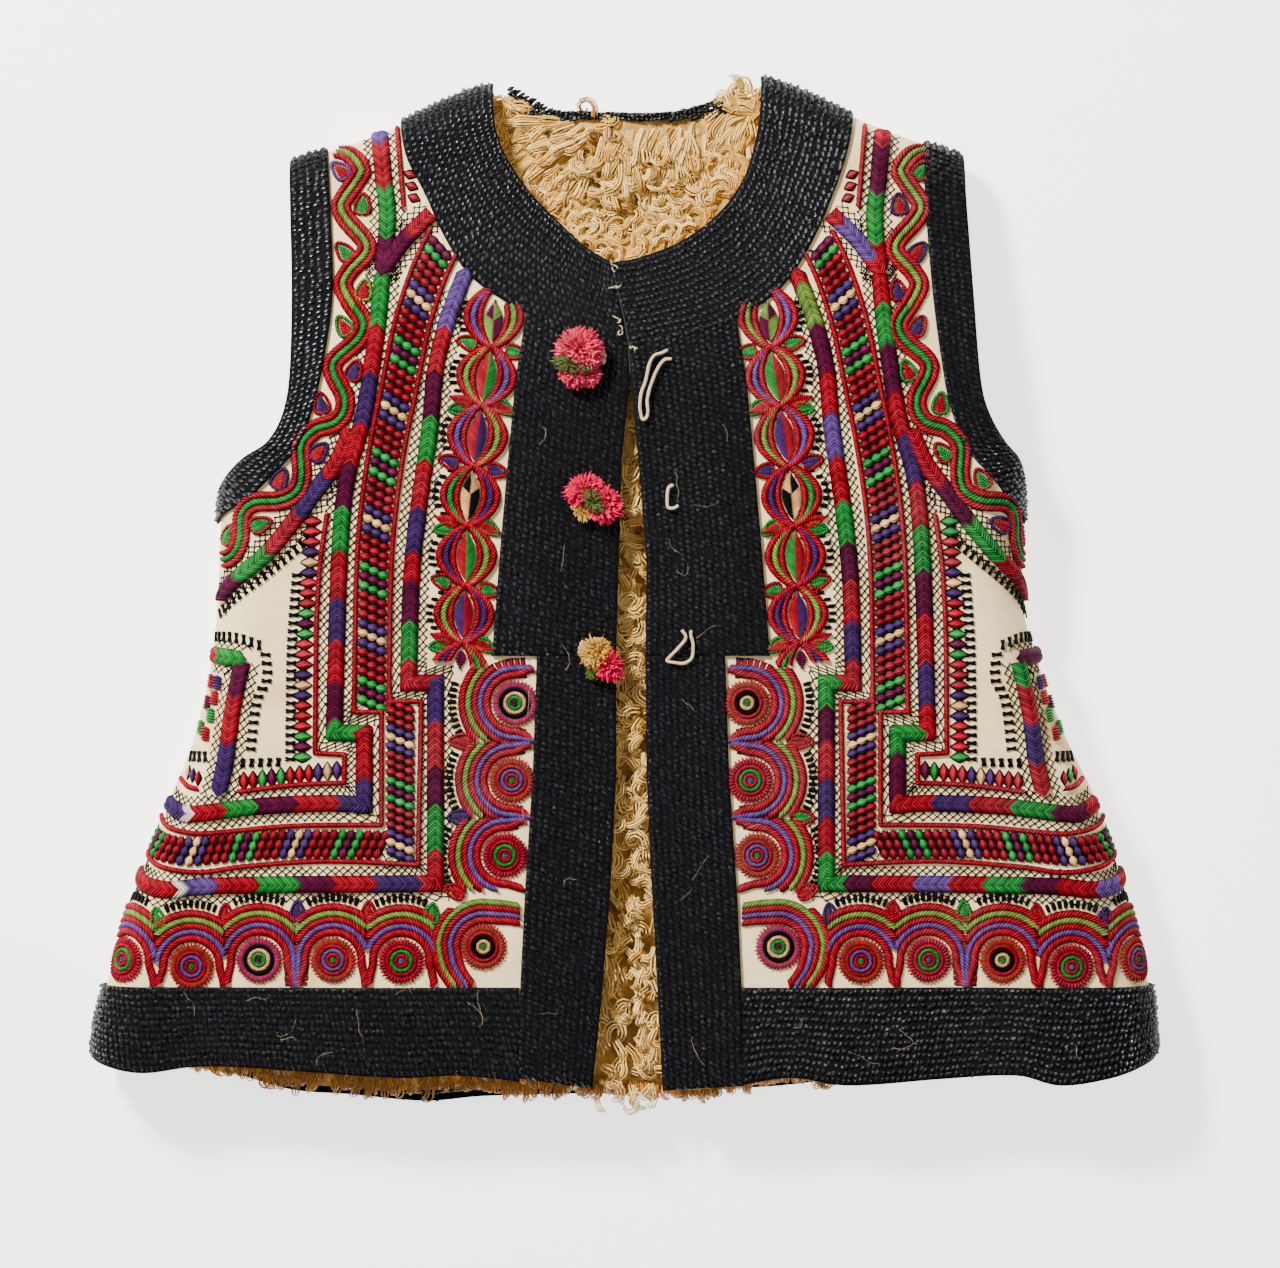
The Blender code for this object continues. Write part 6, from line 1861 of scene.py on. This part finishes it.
    def hem(self) -> Mesh:
        """Returns: the wool that shows below the front hem."""
        random = np.random.default_rng(SEED + 2)
        n = self.hem_count
        x = random.uniform(-226, 110, n)
        reach = np.abs(x)
        low = np.where(x < 0, FRONT_HEM(LEFT, reach), FRONT_HEM(RIGHT, reach))
        under = (x < -30) & (random.random(n) < 0.7)
        z = np.where(under, 25.2, random.uniform(20, 32, n))
        start = np.where(under, random.uniform(-6, 5, n), 4)
        return self.grow(random, stacked(x, np.maximum(low + start, BACK_HEM(LEFT, reach) + 7), z),
                         random.normal(-QUARTER_TURN, 0.35, n), random.uniform(4, 7, n), random.uniform(2, 4, n),
                         random.normal(0, 0.1, n), random.uniform(1, 1.8, n),
                         ((Dye.WOOL_ORANGE, 5), (Dye.WOOL_BROWN, 4), (Dye.WOOL_AMBER, 3)), rise=0.5, sag=3,
                         strands=3, stations=7)

    def hairs(self) -> Mesh:
        """Returns: single stray hairs that lie on the trim."""
        random = np.random.default_rng(SEED + 3)
        paths = []
        for _ in range(self.hair_count):
            side = SIDES[random.integers(2)]
            y = random.uniform(-250, 200)
            reach = side.sign * float(CENTRE_EDGE(side, min(y, 120))) + random.uniform(4, 46)
            if random.random() < self.hem_hairs:
                reach, y = random.uniform(60, 250), random.uniform(-246, -214)
            turn = random.uniform(0, 6.3) + np.cumsum(random.normal(0, 0.35, 8))
            step = random.uniform(1, 2.6)
            paths.append(VEST.raised(side, reach + np.cumsum(np.cos(turn)) * step, y + np.cumsum(np.sin(turn)) * step,
                                     TRIM_TOP + 0.1))
        dyes = random.choice([DYE_INDEX[Dye.CREAM], DYE_INDEX[Dye.SLATE]], len(paths))
        made = [tubes(np.array(paths), np.full((len(paths), 8), 0.06), 3, dyes)]
        y = np.linspace(FRONT_OPENING_TOP - 14, NECK_FRONT_Y, 40)
        seam = VEST.raised(RIGHT, (CENTRE_EDGE(LEFT, y) + CENTRE_EDGE(RIGHT, y)) / 2, y, TRIM_BED - 0.3)
        made.append(tubes(seam[None], np.full((1, 40), 0.7), 6, DYE_INDEX[K]))
        t = np.linspace(0, 1, 6)
        for x, y in ((-6.2, 162.8), (-4.7, 151.3), (-2.6, 135.2), (-1.6, 129), (3.6, 121.2)):
            turn = random.uniform(0, 6.3, (3, 1)) + t * random.normal(0, 2, (3, 1))
            place = [base + 0.6 * np.cumsum(part, axis=1) for base, part in ((x, np.cos(turn)), (y, np.sin(turn)))]
            made.append(tubes(VEST.raised(RIGHT, *place, TRIM_TOP + 0.4), np.full((3, 6), 0.3), 4, DYE_INDEX[CREAM]))
        return joined(made)

    def build(self, finishes: Finishes) -> None:
        """Args: finishes. Adds the groups of locks."""
        combed, ringlets = self.neck()
        for name, made in (("neck_combed_locks", combed), ("neck_ringlets", ringlets),
                           ("neck_corner_tufts", self.corners()), ("front_gap_locks", self.gap()),
                           ("hem_locks", self.hem()), ("stray_hairs", self.hairs())):
            add_mesh(name, made, finishes.wool)


@dataclass(frozen=True)
class Tuft:
    """Cut wool of one colour: where it sits as (X, y), its radius, and how much longer it is than wide."""

    dye: Dye
    x: float
    y: float
    radius: float
    long: float = 1.0
    tilt: float = 0.0  # the way of its length, in degrees
    lift: float = 0.0


PINK, OLIVE, TAN, CREAM = Dye.PINK, Dye.OLIVE, Dye.WOOL_GOLD, Dye.CREAM
POMPOMS = {
    "pompom_top": (Tuft(PINK, -23, 118, 12), Tuft(OLIVE, -27, 111, 5, 2.1, -12, 6.5),
                   Tuft(PINK, -25, 107, 8), Tuft(PINK, -18.5, 106.5, 6.6),
                   Tuft(CREAM, -12.6, 116.5, 3.4, 1.6, 110, 3)),
    "pompom_middle": (Tuft(PINK, -20.5, 46.5, 8.4, 1.2, 20), Tuft(PINK, -10.6, 39.2, 8.8, 1.15, 110),
                      Tuft(OLIVE, -17, 41.5, 4.6, 1.9, -50, 6), Tuft(TAN, -22.5, 37.5, 5, 1.5, 120)),
    "pompom_bottom": (Tuft(TAN, -14.7, -37.3, 8.2), Tuft(PINK, -8.4, -43.4, 7.4, 1.25, 110),
                      Tuft(OLIVE, -15.9, -48, 4), Tuft(CREAM, -21.6, -35, 2.6, 1.7, 75)),
}


@dataclass
class Pompoms:
    """The three wool buttons on the left front, each of tufts of cut wool."""

    density: float = 8.5  # strands for a square mm of a tuft's radius
    flatten: float = 0.72
    floor: float = 0.45  # how far below its middle a tuft is cut off, as a share of its radius
    root: float = 0.55  # where a strand starts, as a share of the radius

    def tuft(self, tuft: Tuft, random: np.random.Generator) -> Mesh:
        """Args: tuft; random. Returns: its strands."""
        count = int(self.density * tuft.radius ** 2)
        way = random.normal(size=(count, 3))
        way[:, 2] = np.abs(way[:, 2]) - 0.35 * random.random(count)
        way /= np.linalg.norm(way, axis=1, keepdims=True)
        bend = random.normal(0, 0.16, (count, 3))
        t = np.linspace(self.root, 1, 3)[None, :, None]
        reach = tuft.radius * random.uniform(0.85, 1.05, count)[:, None, None]
        paths = (way[:, None] * t + bend[:, None] * (t - self.root) ** 2 * 3) * reach
        low = -self.floor * tuft.radius
        paths[..., 2] = np.maximum(paths[..., 2] * self.flatten, low) - low
        turn = math.radians(tuft.tilt)
        ahead = np.array([math.cos(turn), math.sin(turn), 0])
        paths = paths + (tuft.long - 1) * (paths @ ahead)[..., None] * ahead
        seat = VEST.raised(LEFT, np.array(-tuft.x), np.array(tuft.y), TRIM_TOP + 0.5 + tuft.lift)
        radii = np.broadcast_to(np.array([0.6, 0.6, 0.4]), (count, 3))
        return tubes(paths + seat, radii, 3, DYE_INDEX[tuft.dye])

    def build(self, finishes: Finishes) -> None:
        """Args: finishes. Adds the buttons."""
        for name, tufts in POMPOMS.items():
            random = np.random.default_rng(SEED + len(name))
            made = joined([self.tuft(tuft, random) for tuft in tufts])
            add_mesh(f"{name}_pile", made, finishes.pile, (name,))


STRING_LOOPS = {
    "string_loop_top": [
        (22.5, 119), (19.5, 117.5), (15.5, 116), (13, 111.5), (11.4, 104), (8.9, 97), (8.3, 90),
        (9.8, 83.9), (12.4, 86.5), (12.2, 94.5), (14.4, 102.5), (17.4, 109.5), (20.8, 114), (24.6, 114.5),
    ],
    "string_loop_middle": [(26, 49.7), (23.4, 48), (22.8, 42), (23.2, 38.2), (26, 37.6), (28.6, 39)],
    "string_loop_bottom": [
        (30.4, -25.5), (32.6, -29.6), (29.2, -34.2), (25.2, -38.4), (22.6, -41.4), (26.4, -42.4), (31.6, -42.8),
        (35.6, -40), (36.4, -33.6), (35.2, -28.2), (35.4, -25.6),
    ],
}


@dataclass
class StringLoops:
    """Loops of linen string on the right placket."""

    radius: float = 0.85
    gap: float = 0.4
    declared: tuple = ("string_loop_top", "string_loop_bottom")

    def build(self, finishes: Finishes) -> None:
        """Args: finishes. Adds the loops."""
        for name, points in STRING_LOOPS.items():
            line = curve_through(points, 6)
            path = VEST.raised(RIGHT, line[:, 0], line[:, 1], TRIM_TOP + self.gap + self.radius)
            radii = np.full((1, len(path)), self.radius)
            piece = add_mesh(f"{name}_string", tubes(path[None], radii, 10, DYE_INDEX[Dye.CREAM]), finishes.string,
                             (name,))


@dataclass
class Studio:
    """Camera, floor and light."""

    width: float = 0.6656  # how much the camera takes in at the garment's height, in metres
    centre: tuple = (0.0083, -0.0259)
    height: float = 0.045
    distance: float = 2.5

    def camera(self) -> None:
        """Sets the scene's camera straight over the garment."""
        data = bpy.data.cameras.new("camera")
        data.sensor_width = 36.0
        data.lens = data.sensor_width * self.distance / self.width
        camera = placed("camera", data)
        camera.location = (*self.centre, self.height + self.distance)
        bpy.context.scene.camera = camera

    def light(self, name: str, place: tuple, size: float, power: float) -> None:
        """Args: name; place; size in m; power in W. Adds a soft light that points at the garment."""
        data = bpy.data.lights.new(name, "AREA")
        data.size, data.energy = size, power
        lamp = placed(name, data)
        lamp.location = place
        lamp.rotation_euler = (-Vector(place)).to_track_quat("-Z", "Y").to_euler()

    def build(self) -> None:
        """Adds the floor and the lights."""
        material, tree, shader = new_material("paper_floor")
        place = add_node(tree, "TexCoord", {}).outputs["Object"]
        grain = add_node(tree, "TexNoise", {"Vector": place, "Scale": 60, "Detail": 2})
        plug(tree, shader, {
            "Base Color": add_node(tree, "MapRange", {0: grain, 1: 0, 2: 1, 3: 0.93, 4: 0.96}),
            "Roughness": 0.9,
            "Emission Color": linear("FFFFFF"),  # lit from below, as a light table
            "Emission Strength": 2,
        })
        data = bpy.data.meshes.new("floor")
        half = 4.0
        data.from_pydata([(-half, -half, 0), (half, -half, 0), (half, half, 0), (-half, half, 0)], [], [(0, 1, 2, 3)])
        data.materials.append(material)
        placed("floor", data)
        self.light("key_light", (-1.3, 1.6, 1.9), 0.45, 235)
        self.light("fill_light", (1.6, -0.6, 1.8), 2, 14)
        self.light("top_light", (0.2, 0, 2.4), 1.6, 14)
        world = bpy.context.scene.world or bpy.data.worlds.new("world")
        bpy.context.scene.world = world
        world.use_nodes = True
        plug(world.node_tree, world.node_tree.nodes["Background"], {"Color": linear("FFFFFF"), "Strength": 0.22})


def dress_carried(finishes: Finishes) -> None:
    """Args: finishes. Gives the fleeces that are carried over from the frame their wool."""
    for name in ("back_fleece", "left_front_fleece", "right_front_fleece"):
        for found in bpy.data.objects:
            if found.type == "MESH" and found.name.split(".")[0] == name:
                found.data.materials.clear()
                found.data.materials.append(finishes.fleece)


def main() -> None:
    """Builds the garment's looks."""
    logging.basicConfig(level=logging.INFO, format="%(message)s")
    studio = Studio()
    studio.camera()
    finishes = Finishes.made()
    StringLoops().build(finishes)
    Skin().build(finishes)
    Trims().build(finishes)
    Locks().build(finishes)
    for side in SIDES:
        Front(side).build(finishes)
        ScallopBorder(side).build(finishes)
    Pompoms().build(finishes)
    dress_carried(finishes)
    studio.build()


if __name__ == "__main__":
    main()
